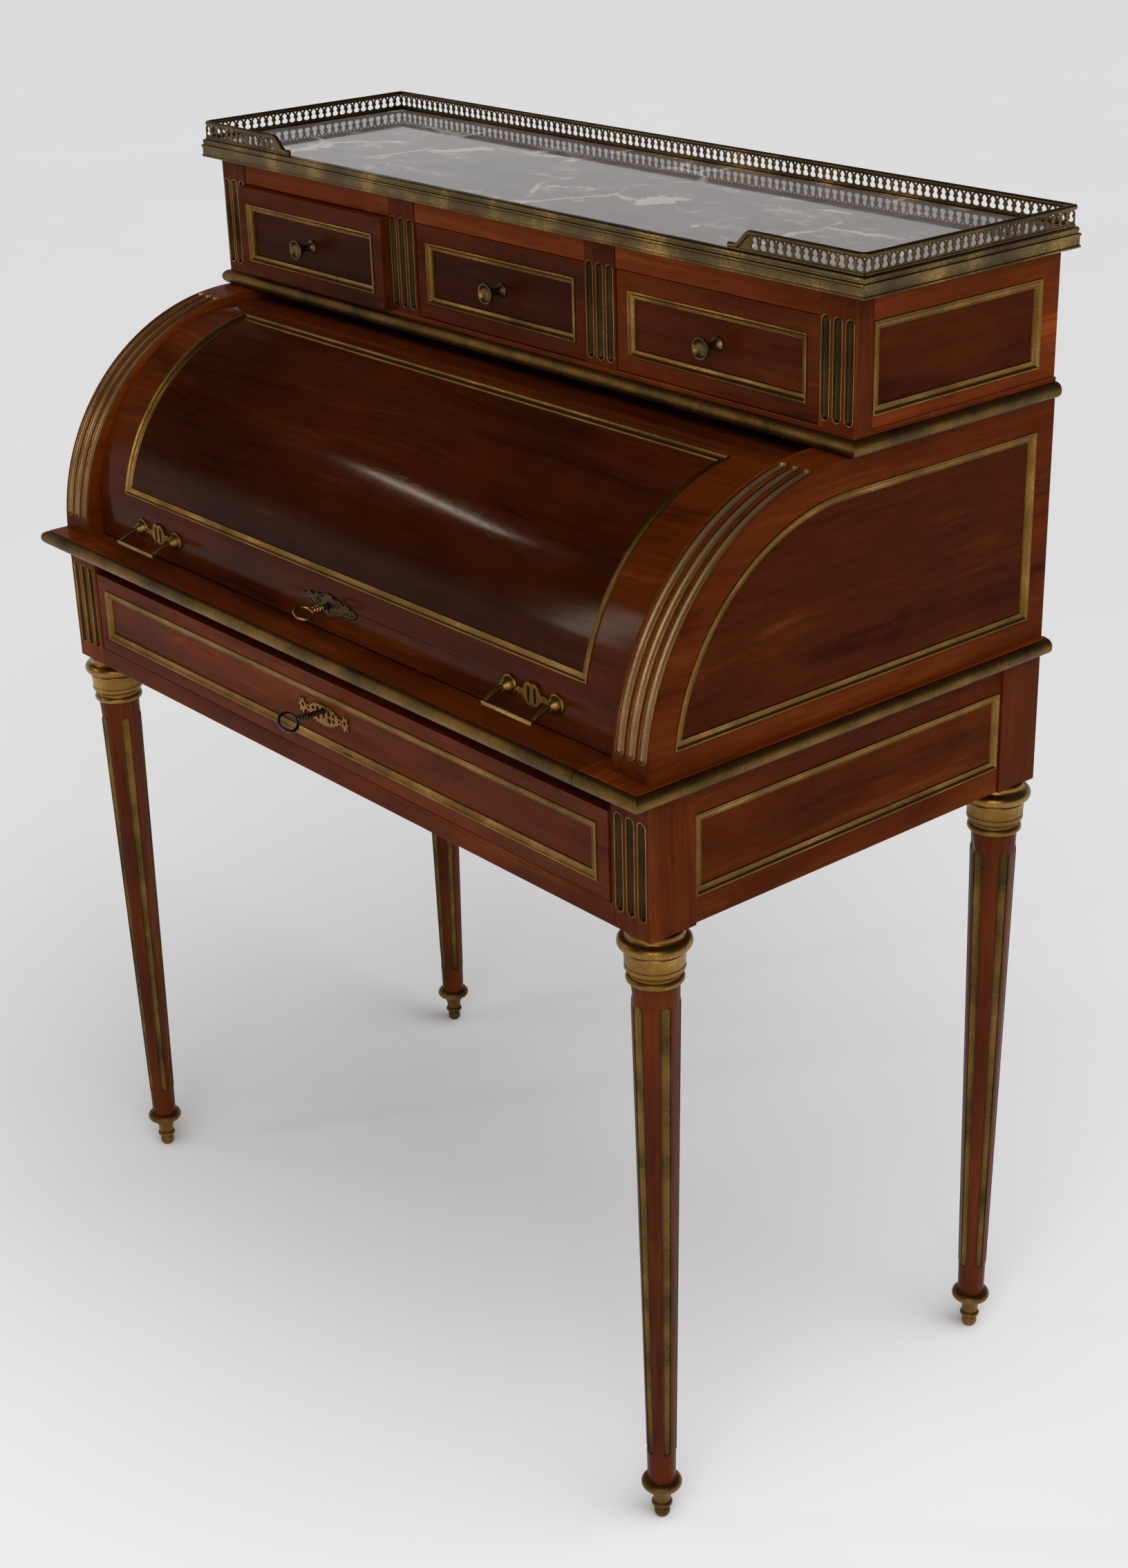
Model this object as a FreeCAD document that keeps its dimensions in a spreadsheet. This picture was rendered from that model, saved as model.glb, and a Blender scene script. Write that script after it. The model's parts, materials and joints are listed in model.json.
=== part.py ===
import FreeCAD, Part
import math
import os
import Sketcher

V = FreeCAD.Vector

# Driving sizes in millimetres and degrees. X runs to the right, Y to the back, Z up from the floor.
SIZES = (
    # Stand: posts, aprons, rails
    ("back_plane", 256),
    ("case_width", 895),
    ("stand_depth", 471),
    ("table_underside", 731),
    ("post_width", 46.5),
    ("front_post_depth", 50.5),
    ("rear_post_depth", 48),
    ("apron_thickness", 20),
    ("apron_recess", 3),
    ("apron_field_lift", 24),
    ("apron_field_height", 73.5),
    ("apron_field_margin", 1.5),
    ("bottom_rail_height", 19.5),
    ("front_rail_thickness", 22),
    ("top_rail_height", 19),
    ("top_rail_setback", 12),
    ("frieze_shadow_gap", 3),
    ("slide_bed_thickness", 13),
    # Legs with collars and feet
    ("leg_top_radius", 21),
    ("leg_bottom_radius", 13),
    ("leg_flute_count", 5),
    ("leg_flute_top_width", 9),
    ("leg_flute_bottom_width", 6),
    ("leg_flute_depth", 2.6),
    ("leg_flute_foot_gap", 23),
    ("leg_flute_head_gap", 18),
    ("collar_height", 49.5),
    ("collar_neck_radius", 26.5),
    ("collar_neck_height", 7),
    ("collar_throat_radius", 24),
    ("collar_ring_radius", 5.5),
    ("collar_band_radius", 26),
    ("collar_band_height", 16),
    ("collar_band_step", 2),
    ("collar_bead_radius", 3.4),
    ("collar_bead_core", 21.5),
    ("sabot_height", 52),
    ("sabot_sleeve_radius", 15.5),
    ("sabot_sleeve_height", 9),
    ("sabot_ring_radius", 4.6),
    ("sabot_ring_core", 14),
    ("sabot_cup_radius", 8.5),
    ("sabot_bead_radius", 2.8),
    ("foot_ball_radius", 7.5),
    ("foot_flat_radius", 4.5),
    # Flutes
    ("flute_depth", 3.5),
    ("liner_thickness", 1.2),
    ("post_flute_width", 9),
    ("post_flute_pitch", 13.8),
    ("post_flute_foot_gap", 17),
    ("post_flute_head_gap", 19),
    ("pilaster_flute_width", 8.5),
    ("pilaster_flute_pitch", 13.2),
    ("pilaster_flute_foot_gap", 6),
    ("pilaster_flute_head_gap", 21),
    ("edge_flute_width", 8.5),
    ("edge_flute_pitch", 13.5),
    ("edge_flute_start", 6),
    ("edge_flute_end", 79),
    # Brass frames round the sunk fields
    ("field_recess", 2.5),
    ("frame_lip", 1.2),
    ("frame_edge", 2),
    ("frame_width", 8),
    # Table top and writing slide
    ("table_thickness", 16),
    ("table_front_overhang", 18),
    ("table_side_overhang", 6),
    ("table_rear_board", 55),
    ("moulding_radius", 7),
    ("table_end_width", 69.5),
    ("slide_side_gap", 0.7),
    ("slide_running_gap", 0.3),
    ("slide_back_gap", 5),
    ("slide_cleat_width", 46.3),
    ("leather_side_gap", 78.3),
    ("leather_depth", 190),
    ("leather_front_gap", 64),
    ("leather_thickness", 1.5),
    # Carcase round the cylinder
    ("carcase_rim", 31.5),
    ("carcase_thickness", 43.5),
    ("carcase_field_lift", 20.5),
    ("carcase_field_margin", 26),
    ("carcase_field_back", 22),
    ("back_thickness", 16),
    ("stand_back_thickness", 20),
    # Cylinder
    ("cylinder_radius", 188.5),
    ("cylinder_thickness", 14),
    ("cylinder_recess", 16),
    ("cylinder_axis_lift", 20.5),
    ("cylinder_side_gap", 1.5),
    ("cylinder_foot_gap", 2),
    ("cylinder_head_gap", 8),
    ("cylinder_sweep", 104),
    ("cylinder_field_margin", 48.5),
    ("cylinder_field_start", 10),
    ("cylinder_field_end", 82),
    ("glue_line", 0.05),
    ("frame_end_turn", 0.02),
    ("cut_over", 1),
    ("quadrant_thickness", 10),
    ("quadrant_start", 4),
    ("quadrant_end", 100),
    ("hub_radius", 14),
    ("pivot_radius", 5),
    ("pivot_clearance", 0.05),
    ("pivot_flange_thickness", 2),
    # Cylinder handles
    ("handle_inset", 113.5),
    ("handle_spacing", 61),
    ("handle_lift", 26.5),
    ("handle_boss_radius", 9.5),
    ("handle_boss_tip", 3.8),
    ("handle_boss_reach", 9),
    ("handle_arm_radius", 2.7),
    ("handle_reach", 28),
    ("handle_drop", 8),
    ("handle_bar", 5),
    ("handle_plate_width", 36),
    ("handle_plate_height", 22),
    ("handle_plate_thickness", 2.4),
    ("handle_strap_height", 8),
    ("handle_slot_width", 3),
    ("handle_slot_height", 14),
    ("handle_slot_offset", 8),
    # Locks, keys, escutcheons
    ("lock_width", 50),
    ("lock_depth", 12),
    ("bolt_width", 16),
    ("bolt_thickness", 5),
    ("bolt_play", 0.4),
    ("bolt_setback", 3),
    ("mortise_play", 1),
    ("mortise_end_gap", 2),
    ("keyhole_radius", 3.4),
    ("key_stem_radius", 2.5),
    ("key_collar_radius", 3.75),
    ("key_tip_gap", 2),
    ("escutcheon_thickness", 2.5),
    ("cylinder_key_lift", 28),
    ("cylinder_key_reach", 28),
    ("cylinder_lock_lift", 10),
    ("cylinder_lock_height", 28),
    ("cylinder_bolt_lift", 4),
    ("cylinder_bolt_length", 15),
    ("cylinder_bolt_throw", 8),
    ("cylinder_bow_radius", 9),
    ("bow_wire", 3.2),
    ("cylinder_bow_turn", 22),
    ("frieze_key_lift", 48),
    ("frieze_escutcheon_drop", 4),
    ("frieze_key_reach", 38),
    ("frieze_lock_height", 35),
    ("frieze_lock_drop", 6),
    ("frieze_bolt_drop", 1),
    ("frieze_bolt_length", 16),
    ("frieze_bolt_throw", 8),
    ("frieze_bow_radius", 9.4),
    ("frieze_bow_turn", 45),
    # Frieze drawer
    ("frieze_lift", 1),
    ("frieze_height", 81),
    ("frieze_side_gap", 3.5),
    ("frieze_front_thickness", 22),
    ("frieze_field_margin", 14),
    ("frieze_field_height", 53),
    ("frieze_field_lift", 13.5),
    ("frieze_box_side", 10),
    ("frieze_box_inset", 10),
    ("frieze_box_height", 72),
    ("frieze_box_back_gap", 35),
    ("drawer_bottom_thickness", 6),
    ("drawer_bottom_lift", 3),
    ("runner_width", 29),
    ("runner_height", 12),
    ("running_gap", 0.3),
    ("guide_gap", 0.7),
    ("guide_height", 10),
    # Upper case with three drawers
    ("deck_thickness", 18),
    ("upper_depth", 247.5),
    ("upper_height", 112),
    ("pilaster_width", 40),
    ("pilaster_depth", 20),
    ("upper_side_thickness", 20),
    ("upper_side_recess", 2),
    ("upper_field_lift", 10.5),
    ("upper_field_height", 77),
    ("upper_field_front", 2),
    ("upper_field_back", 22),
    ("upper_rail_height", 22.5),
    ("upper_rail_setback", 1),
    ("top_board_thickness", 18),
    ("partition_thickness", 16),
    ("drawer_setback", 1.5),
    ("drawer_gap", 0.8),
    ("drawer_front_thickness", 18),
    ("drawer_field_margin", 14.2),
    ("drawer_field_height", 58),
    ("drawer_field_lift", 14),
    ("drawer_field_recess", 4),
    ("drawer_frame_width", 7),
    ("drawer_box_side", 8),
    ("drawer_box_inset", 2),
    ("drawer_box_height", 79),
    ("drawer_back_gap", 12),
    ("left_drawer_open", 11.5),
    ("knob_reach", 21),
    ("knob_dish_radius", 9.8),
    ("knob_stem_radius", 3.6),
    ("knob_base_radius", 7),
    ("knob_rim", 2),
    # Marble, band and gallery
    ("marble_thickness", 17),
    ("marble_side_overhang", 14.5),
    ("marble_front_overhang", 8.5),
    ("band_thickness", 3.5),
    ("band_fascia_height", 12.5),
    ("band_step", 1.4),
    ("band_lip_thickness", 1),
    ("band_lip_width", 4),
    ("gallery_inset", 4.6),
    ("gallery_height", 18),
    ("gallery_plate", 1.4),
    ("gallery_rail_radius", 2.4),
    ("gallery_pitch", 9.2),
    ("gallery_margin", 5),
    ("gallery_opening_foot", 4),
    ("gallery_opening_height", 9),
    ("gallery_opening_width", 5.4),
    ("gallery_return", 150),
    ("gallery_sweep_start", 124),
    ("gallery_sweep_run", 18),
    ("gallery_foot_rise", 3),
    # Pigeonholes
    ("nest_side_gap", 18),
    ("nest_board", 8),
    ("nest_front", 51.5),
    ("nest_depth", 98),
    ("nest_height", 103),
    ("nest_bays", 4),
)

# Places worked out from the sizes.
PLACES = (
    ("case_half", "Sizes.case_width / 2"),
    ("front_plane", "Sizes.back_plane - Sizes.stand_depth"),
    ("post_inner", "case_half - Sizes.post_width"),
    ("front_post_back", "front_plane + Sizes.front_post_depth"),
    ("rear_post_front", "Sizes.back_plane - Sizes.rear_post_depth"),
    ("leg_offset", "case_half - Sizes.post_width / 2"),
    ("front_leg", "front_plane + Sizes.front_post_depth / 2"),
    ("rear_leg", "Sizes.back_plane - Sizes.rear_post_depth / 2"),
    ("top_rail_foot", "Sizes.table_underside - Sizes.top_rail_height"),
    ("frieze_top", "top_rail_foot - Sizes.frieze_shadow_gap"),
    ("frieze_foot", "frieze_top - Sizes.frieze_height"),
    ("apron_underside", "frieze_foot - Sizes.frieze_lift - Sizes.bottom_rail_height"),
    ("leg_top", "apron_underside - Sizes.collar_height"),
    ("apron_face", "case_half - Sizes.apron_recess"),
    ("apron_inner", "apron_face - Sizes.apron_thickness"),
    ("apron_field_foot", "apron_underside + Sizes.apron_field_lift"),
    ("table_top", "Sizes.table_underside + Sizes.table_thickness"),
    ("table_half", "case_half + Sizes.table_side_overhang"),
    ("table_front", "front_plane - Sizes.table_front_overhang"),
    ("table_middle", "Sizes.table_underside + Sizes.table_thickness / 2"),
    ("slide_well", "table_half - Sizes.table_end_width"),
    ("slide_half", "slide_well - Sizes.slide_side_gap"),
    ("slide_top", "table_top - Sizes.slide_running_gap"),
    ("slide_back", "Sizes.back_plane - Sizes.table_rear_board - Sizes.slide_back_gap"),
    ("cleat_seam", "slide_half - Sizes.slide_cleat_width"),
    ("leather_half", "slide_half - Sizes.leather_side_gap"),
    ("bed_top", "Sizes.table_underside - Sizes.slide_running_gap"),
    ("bed_front", "front_plane + Sizes.top_rail_setback + Sizes.front_rail_thickness"),
    ("pivot_z", "table_top + Sizes.cylinder_axis_lift"),
    ("deck_bottom", "pivot_z + Sizes.cylinder_radius + Sizes.cylinder_head_gap"),
    ("deck_top", "deck_bottom + Sizes.deck_thickness"),
    ("carcase_radius", "Sizes.cylinder_radius + Sizes.carcase_rim"),
    ("carcase_y", "front_plane + carcase_radius"),
    ("carcase_z", "deck_bottom - carcase_radius"),
    ("carcase_inner", "case_half - Sizes.carcase_thickness"),
    ("cylinder_front", "front_plane + Sizes.cylinder_recess"),
    ("pivot_y", "cylinder_front + Sizes.cylinder_radius"),
    ("cylinder_half", "carcase_inner - Sizes.cylinder_side_gap"),
    ("cylinder_inner", "Sizes.cylinder_radius - Sizes.cylinder_thickness"),
    ("cylinder_field_half", "cylinder_half - Sizes.cylinder_field_margin"),
    ("handle_offset", "cylinder_half - Sizes.handle_inset"),
    ("frame_turn", "Sizes.frame_width / Sizes.cylinder_radius * 180 / pi"),
    ("handle_z", "table_top + Sizes.handle_lift"),
    ("cylinder_key_z", "table_top + Sizes.cylinder_key_lift"),
    ("bolt_y", "pivot_y - cylinder_inner + Sizes.bolt_setback"),
    ("frieze_half", "post_inner - Sizes.frieze_side_gap"),
    ("frieze_back", "front_plane + Sizes.frieze_front_thickness"),
    ("frieze_box_half", "frieze_half - Sizes.frieze_box_inset"),
    ("frieze_field_half", "frieze_half - Sizes.frieze_field_margin"),
    ("frieze_field_foot", "frieze_foot + Sizes.frieze_field_lift"),
    ("frieze_key_z", "frieze_foot + Sizes.frieze_key_lift"),
    ("frieze_bolt_y", "frieze_back + Sizes.bolt_setback"),
    ("upper_front", "Sizes.back_plane - Sizes.upper_depth"),
    ("pilaster_back", "upper_front + Sizes.pilaster_depth"),
    ("slab_bottom", "deck_top + Sizes.upper_height"),
    ("slab_top", "slab_bottom + Sizes.marble_thickness"),
    ("bay_width", "(Sizes.case_width - 4 * Sizes.pilaster_width) / 3"),
    ("bay_pitch", "bay_width + Sizes.pilaster_width"),
    ("upper_face", "case_half - Sizes.upper_side_recess"),
    ("upper_inner", "upper_face - Sizes.upper_side_thickness"),
    ("upper_field_foot", "deck_top + Sizes.upper_field_lift"),
    ("inner_back", "Sizes.back_plane - Sizes.back_thickness"),
    ("rail_foot", "slab_bottom - Sizes.upper_rail_height"),
    ("drawer_half", "bay_width / 2 - Sizes.drawer_gap"),
    ("drawer_face", "upper_front + Sizes.drawer_setback"),
    ("drawer_foot", "deck_top + Sizes.drawer_gap"),
    ("drawer_top", "rail_foot - Sizes.drawer_gap"),
    ("drawer_box_half", "drawer_half - Sizes.drawer_box_inset"),
    ("drawer_field_half", "drawer_half - Sizes.drawer_field_margin"),
    ("drawer_field_foot", "drawer_foot + Sizes.drawer_field_lift"),
    ("marble_half", "case_half + Sizes.marble_side_overhang"),
    ("marble_front", "upper_front - Sizes.marble_front_overhang"),
    ("marble_back", "Sizes.back_plane - Sizes.band_thickness"),
    ("band_top", "slab_top + Sizes.band_lip_thickness"),
    ("gallery_half", "marble_half + Sizes.band_thickness - Sizes.gallery_inset"),
    ("gallery_front", "marble_front - Sizes.band_thickness + Sizes.gallery_inset"),
    ("gallery_back_y", "Sizes.back_plane - Sizes.gallery_inset"),
    ("gallery_rail_rise", "Sizes.gallery_height - Sizes.gallery_rail_radius"),
    ("nest_half", "carcase_inner - Sizes.nest_side_gap"),
    ("nest_front_y", "pivot_y + Sizes.nest_front"),
    ("nest_back_y", "nest_front_y + Sizes.nest_depth"),
    ("nest_top", "table_top + Sizes.nest_height"),
)

doc = FreeCAD.newDocument("CylinderDesk")
nodes = []


def fill_sheet(name, rows):
    sheet = doc.addObject("Spreadsheet::Sheet", name)
    for row, (alias, content) in enumerate(rows, 1):
        sheet.set(f"A{row}", alias)
        sheet.set(f"B{row}", str(content))
        sheet.setAlias(f"B{row}", alias)


fill_sheet("Sizes", SIZES)
fill_sheet("Places", [(alias, "=" + formula) for alias, formula in PLACES])
probe = doc.addObject("App::FeaturePython", "Probe")
doc.recompute()


def value(formula):
    return float(probe.evalExpression(formula))


def place(item, x="0", y="0", z="0", turn=None):
    if turn:
        item.Placement = FreeCAD.Placement(V(0, 0, 0), turn)
    for axis, formula in (("x", x), ("y", y), ("z", z)):
        item.setExpression(f"Placement.Base.{axis}", formula)
    return item


def node(item, name):
    item.Label = name
    nodes.append(item)
    return item


# Turns that send the local Z axis forwards, backwards and to the right.
FORWARD = FreeCAD.Rotation(V(1, 0, 0), 90)
BACKWARD = FreeCAD.Rotation(V(1, 0, 0), -90)
RIGHTWARD = FreeCAD.Rotation(V(0, 1, 0), 90)


def around(centre, half):
    return f"{centre} - {half}", f"{centre} + {half}"


def board(name, x, y, z):
    box = doc.addObject("Part::Box", name)
    spans = (("Length", x), ("Width", y), ("Height", z))
    for prop, (low, high) in spans:
        box.setExpression(prop, f"({high}) - ({low})")
    return place(box, x[0], y[0], z[0])


def pin(name, radius, length, x, y, z, turn):
    rod = doc.addObject("Part::Cylinder", name)
    rod.setExpression("Radius", radius)
    rod.setExpression("Height", length)
    return place(rod, x, y, z, turn)


def mirrored(item):
    twin = doc.addObject("Part::Mirroring", item.Name + "_twin")
    twin.Source = item
    twin.Normal = V(1, 0, 0)
    return twin


def group(name, members):
    whole = doc.addObject("Part::Compound", name)
    whole.Links = members
    return whole


def pairs(name, members):
    return group(name, members + [mirrored(item) for item in members])


def fuse(name, members):
    whole = doc.addObject("Part::MultiFuse", name)
    whole.Shapes = members
    return whole


def cut(name, base, tool):
    rest = doc.addObject("Part::Cut", name)
    rest.Base = base
    rest.Tool = tool
    return rest


def shaped(name, shape):
    item = doc.addObject("Part::Feature", name)
    item.Shape = shape
    return item


def arc_centre(start, end, radius, left):
    run, rise = end[0] - start[0], end[1] - start[1]
    chord = math.hypot(run, rise)
    lean = math.sqrt(max(radius**2 - chord**2 / 4, 0)) / chord * (1 if left else -1)
    return (start[0] + end[0]) / 2 - rise * lean, (start[1] + end[1]) / 2 + run * lean


def draw(sketch, points, arcs=None, closed=True):
    """Line and arc outline whose corners follow formulas; arcs map an edge to (radius, turns left)."""
    arcs = arcs or {}
    spots = [(value(across), value(up)) for across, up in points]
    count = len(spots) if closed else len(spots) - 1
    ends = []
    for edge in range(count):
        start, end = spots[edge], spots[(edge + 1) % len(spots)]
        if edge not in arcs:
            sketch.addGeometry(Part.LineSegment(V(*start, 0), V(*end, 0)))
            ends.append((1, 2))
            continue
        radius, left = value(arcs[edge][0]), arcs[edge][1]
        middle = arc_centre(start, end, radius, left)
        first, last = (start, end) if left else (end, start)
        opening = math.atan2(first[1] - middle[1], first[0] - middle[0])
        closing = math.atan2(last[1] - middle[1], last[0] - middle[0])
        closing += 2 * math.pi if closing <= opening else 0
        circle = Part.Circle(V(*middle, 0), V(0, 0, 1), radius)
        sketch.addGeometry(Part.ArcOfCircle(circle, opening, closing))
        ends.append((1, 2) if left else (2, 1))
    for edge in range(count if closed else count - 1):
        after = (edge + 1) % count
        sketch.addConstraint(Sketcher.Constraint("Coincident", edge, ends[edge][1], after, ends[after][0]))
    for index, corner in enumerate(points):
        edge = min(index, count - 1)
        end = ends[edge][0] if index < count else ends[edge][1]
        for kind, formula, axis in (("DistanceX", corner[0], -2), ("DistanceY", corner[1], -1)):
            if formula == "0":
                sketch.addConstraint(Sketcher.Constraint("PointOnObject", edge, end, axis))
            else:
                number = sketch.addConstraint(Sketcher.Constraint(kind, -1, 1, edge, end, value(formula)))
                sketch.setExpression(f"Constraints[{number}]", formula)
    for edge, (radius, left) in arcs.items():
        number = sketch.addConstraint(Sketcher.Constraint("Radius", edge, value(radius)))
        sketch.setExpression(f"Constraints[{number}]", radius)
    return sketch


def outline(body, role, points, arcs=None):
    sketch = body.newObject("Sketcher::SketchObject", body.Name + "_outline")
    plane = [feature for feature in body.Origin.OriginFeatures if feature.Role == role][0]
    sketch.AttachmentSupport = [(plane, "")]
    sketch.MapMode = "FlatFace"
    return draw(sketch, points, arcs)


def prism(name, points, arcs, x):
    """Outline in the YZ plane, padded from x[0] to x[1]."""
    body = doc.addObject("PartDesign::Body", name)
    pad = body.newObject("PartDesign::Pad", name + "_pad")
    pad.Profile = outline(body, "YZ_Plane", points, arcs)
    pad.setExpression("Length", f"({x[1]}) - ({x[0]})")
    body.Tip = pad
    return place(body, x[0])


BEAD_TURNS = (-60, 0, 60)


def bead(core, foot, radius):
    """Half-round bead that stands out of a turned outline."""
    middle = f"{foot} + {radius}"
    return [(f"{core} + {radius} * cos({turn})", f"{middle} + {radius} * sin({turn})") for turn in BEAD_TURNS]


def turned(name, points):
    """Half outline (radius, height) turned round the upright axis."""
    body = doc.addObject("PartDesign::Body", name)
    turn = body.newObject("PartDesign::Revolution", name + "_turn")
    sketch = outline(body, "XZ_Plane", points)
    turn.Profile = sketch
    turn.ReferenceAxis = (sketch, ["V_Axis"])
    turn.Angle = 360
    body.Tip = turn
    return body


def on_cylinder(radius, angle):
    return (
        f"Places.pivot_y - ({radius}) * cos({angle})",
        f"Places.pivot_z + ({radius}) * sin({angle})",
    )


def sector(name, inner, outer, start, end, x):
    """Piece of a ring round the cylinder's axis between two angles above the front horizon."""
    corners = [
        on_cylinder(radius, angle)
        for radius, angle in ((outer, start), (outer, end), (inner, end), (inner, start))
    ]
    return prism(name, corners, {0: (outer, False), 2: (inner, True)}, x)


def wedge(name, turn, across, depth, rise, front, back):
    """Block facing forwards before its turn, inset by front at its face and by back behind."""
    block = doc.addObject("Part::Wedge", name)
    for axis, (low, high) in (("X", across), ("Z", rise)):
        block.setExpression(f"{axis}min", f"{low} + {front}")
        block.setExpression(f"{axis}max", f"{high} - {front}")
        block.setExpression(f"{axis}2min", f"{low} + {back}")
        block.setExpression(f"{axis}2max", f"{high} - {back}")
    block.setExpression("Ymin", depth[0])
    block.setExpression("Ymax", depth[1])
    block.Placement = FreeCAD.Placement(V(0, 0, 0), FreeCAD.Rotation(V(0, 0, 1), turn))
    return block


def brass_frame(name, turn, across, depth, rise, width="Sizes.frame_width"):
    """Mitred frame moulding that slopes down to the sunk field."""
    blank = wedge(name + "_blank", turn, across, depth, rise, "0", "0")
    field = wedge(name + "_field", turn, across, depth, rise, "Sizes.frame_edge", width)
    return cut(name, blank, field)


END_STEPS = 4


def half_circle(radius, middle, start):
    """Points from one side of a slot's end to the other, round a middle on the upright axis."""
    turns = [math.radians(start + 180 * step / END_STEPS) for step in range(END_STEPS + 1)]
    return [(radius * math.cos(turn), middle + radius * math.sin(turn)) for turn in turns]


def slot(low_width, high_width, length, near, far):
    """Upright round-ended slot standing on z = 0, from y = near to y = far."""
    low, high = low_width / 2, high_width / 2
    rim = half_circle(low, low, 180) + half_circle(high, length - high, 0)
    points = [V(x, near, z) for x, z in rim]
    return Part.Face(Part.makePolygon(points + points[:1])).extrude(V(0, far - near, 0))


def flute_pair(width, length, depth):
    """Cutter and brass strip of one straight flute, both standing in the plane y = 0."""
    liner, over = value("Sizes.liner_thickness"), value("Sizes.cut_over")
    return slot(width, width, length, -over, depth), slot(width, width, length, depth - liner, depth)


straight_strips = []


def fluted(name, blank, kind, x, face, foot, head):
    """Three flutes down the front of a blank; its brass strips join the liners."""
    low = value(f"{foot} + Sizes.{kind}_flute_foot_gap")
    high = value(f"{head} - Sizes.{kind}_flute_head_gap")
    pitch = value(f"Sizes.{kind}_flute_pitch")
    cutter, strip = flute_pair(value(f"Sizes.{kind}_flute_width"), high - low, value("Sizes.flute_depth"))
    cutters = []
    for step in (-1, 0, 1):
        spot = V(value(x) + step * pitch, value(face), low)
        cutters.append(cutter.translated(spot))
        straight_strips.append(strip.translated(spot))
    return cut(name, blank, shaped(name + "_cutters", Part.makeCompound(cutters)))


# Marble slab with its brass band
marble_x = ("-Places.marble_half", "Places.marble_half")
marble_y = ("Places.marble_front", "Places.marble_back")
node(board("marble_top", marble_x, marble_y, ("Places.slab_bottom", "Places.slab_top")), "marble_top")


def slab_ring(name, grow, z):
    x = (f"-Places.marble_half - ({grow})", f"Places.marble_half + ({grow})")
    y = (f"Places.marble_front - ({grow})", f"Places.marble_back + ({grow})")
    return board(name, x, y, z)


fascia_head = "Places.slab_bottom + Sizes.band_fascia_height"
band_blank = fuse("band_blank", [
    slab_ring("band_fascia", "Sizes.band_thickness", ("Places.slab_bottom", fascia_head)),
    slab_ring("band_bead", "Sizes.band_thickness - Sizes.band_step", (fascia_head, "Places.band_top")),
])
band_core = fuse("band_core", [
    slab_ring("band_well", "0", ("Places.slab_bottom", "Places.slab_top")),
    slab_ring("band_sight", "-Sizes.band_lip_width", ("Places.slab_top", "Places.band_top")),
])
node(cut("top_band", band_blank, band_core), "top_band")


# Pierced gallery
def gallery_opening(x):
    """Pointed opening with a pinched waist."""
    wide = value("Sizes.gallery_opening_width") / 2
    tall = value("Sizes.gallery_opening_height")
    foot = value("Sizes.gallery_opening_foot")
    half = ((0, 1), (0.8, 0.66), (0.45, 0.45), (1, 0.1))
    left = [(-across, up) for across, up in reversed(half[1:])]
    points = [V(x + across * wide, 0, foot + up * tall) for across, up in list(half) + left]
    return Part.makePolygon(points + points[:1])


def pierced(edges, first, last):
    """Plate of the given outline with openings spread between two stations."""
    count = int((last - first) / value("Sizes.gallery_pitch"))
    pitch = (last - first) / count
    holes = [gallery_opening(first + pitch * (index + 0.5)) for index in range(count)]
    thick = value("Sizes.gallery_plate")
    plate = Part.makeFace([Part.Wire(edges)] + holes, "Part::FaceMakerBullseye").extrude(V(0, thick, 0))
    return plate.translated(V(0, -thick / 2, 0))


def straight_plate(length):
    rise = value("Places.gallery_rail_rise")
    corners = [V(0, 0, 0), V(length, 0, 0), V(length, 0, rise), V(0, 0, rise), V(0, 0, 0)]
    edges = Part.makePolygon(corners).Edges
    margin = value("Sizes.gallery_margin")
    return pierced(edges, margin, length - margin)


def sweep_line():
    """Top line of a front return: level, then an S down to the foot."""
    rise, foot = value("Places.gallery_rail_rise"), value("Sizes.gallery_foot_rise")
    start, run = value("Sizes.gallery_sweep_start"), value("Sizes.gallery_sweep_run")
    drop = rise - foot
    radius = (run**2 + drop**2) / (4 * drop)
    turn = math.asin(run / 2 / radius) / 2
    bow = V(radius * math.sin(turn), 0, radius * (1 - math.cos(turn)))
    top, middle = V(start, 0, rise), V(start + run / 2, 0, rise - drop / 2)
    low, end = V(start + run, 0, foot), V(value("Sizes.gallery_return"), 0, foot)
    return [
        Part.makeLine(V(0, 0, rise), top),
        Part.Arc(top, V(start + bow.x, 0, rise - bow.z), middle).toShape(),
        Part.Arc(middle, V(start + run - bow.x, 0, foot + bow.z), low).toShape(),
        Part.makeLine(low, end),
    ]


def return_plate():
    end, foot = value("Sizes.gallery_return"), value("Sizes.gallery_foot_rise")
    rest = [V(end, 0, foot), V(end, 0, 0), V(0, 0, 0), V(0, 0, value("Places.gallery_rail_rise"))]
    edges = sweep_line() + Part.makePolygon(rest).Edges
    return pierced(edges, value("Sizes.gallery_margin"), value("Sizes.gallery_sweep_start"))


def build_gallery():
    half, base = value("Places.gallery_half"), value("Places.band_top")
    front, back = value("Places.gallery_front"), value("Places.gallery_back_y")
    radius, thick = value("Sizes.gallery_rail_radius"), value("Sizes.gallery_plate")
    rise = value("Places.gallery_rail_rise")
    span = 2 * (half - radius)
    rail = Part.makeCylinder(radius, span, V(-span / 2, back, base + rise), V(1, 0, 0))
    behind = straight_plate(span).translated(V(-span / 2, back, base)).fuse(rail)
    side = straight_plate(back - front + thick)
    side.Placement = FreeCAD.Placement(V(-half, front - thick / 2, base), FreeCAD.Rotation(V(0, 0, 1), 90))
    corner = V(-half, front, base)
    turn = corner + V(0, 0, rise)
    side_rail = Part.makeCylinder(radius, back - front + radius, turn, V(0, 1, 0))
    ring = Part.Wire([Part.makeCircle(radius, V(0, 0, rise), V(1, 0, 0))])
    front_rail = Part.Wire(sweep_line()).makePipeShell([ring], True, False).translated(corner)
    knuckle = Part.makeSphere(radius, turn)
    left = side.fuse([return_plate().translated(corner), side_rail, front_rail, knuckle])
    return behind, left


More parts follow.
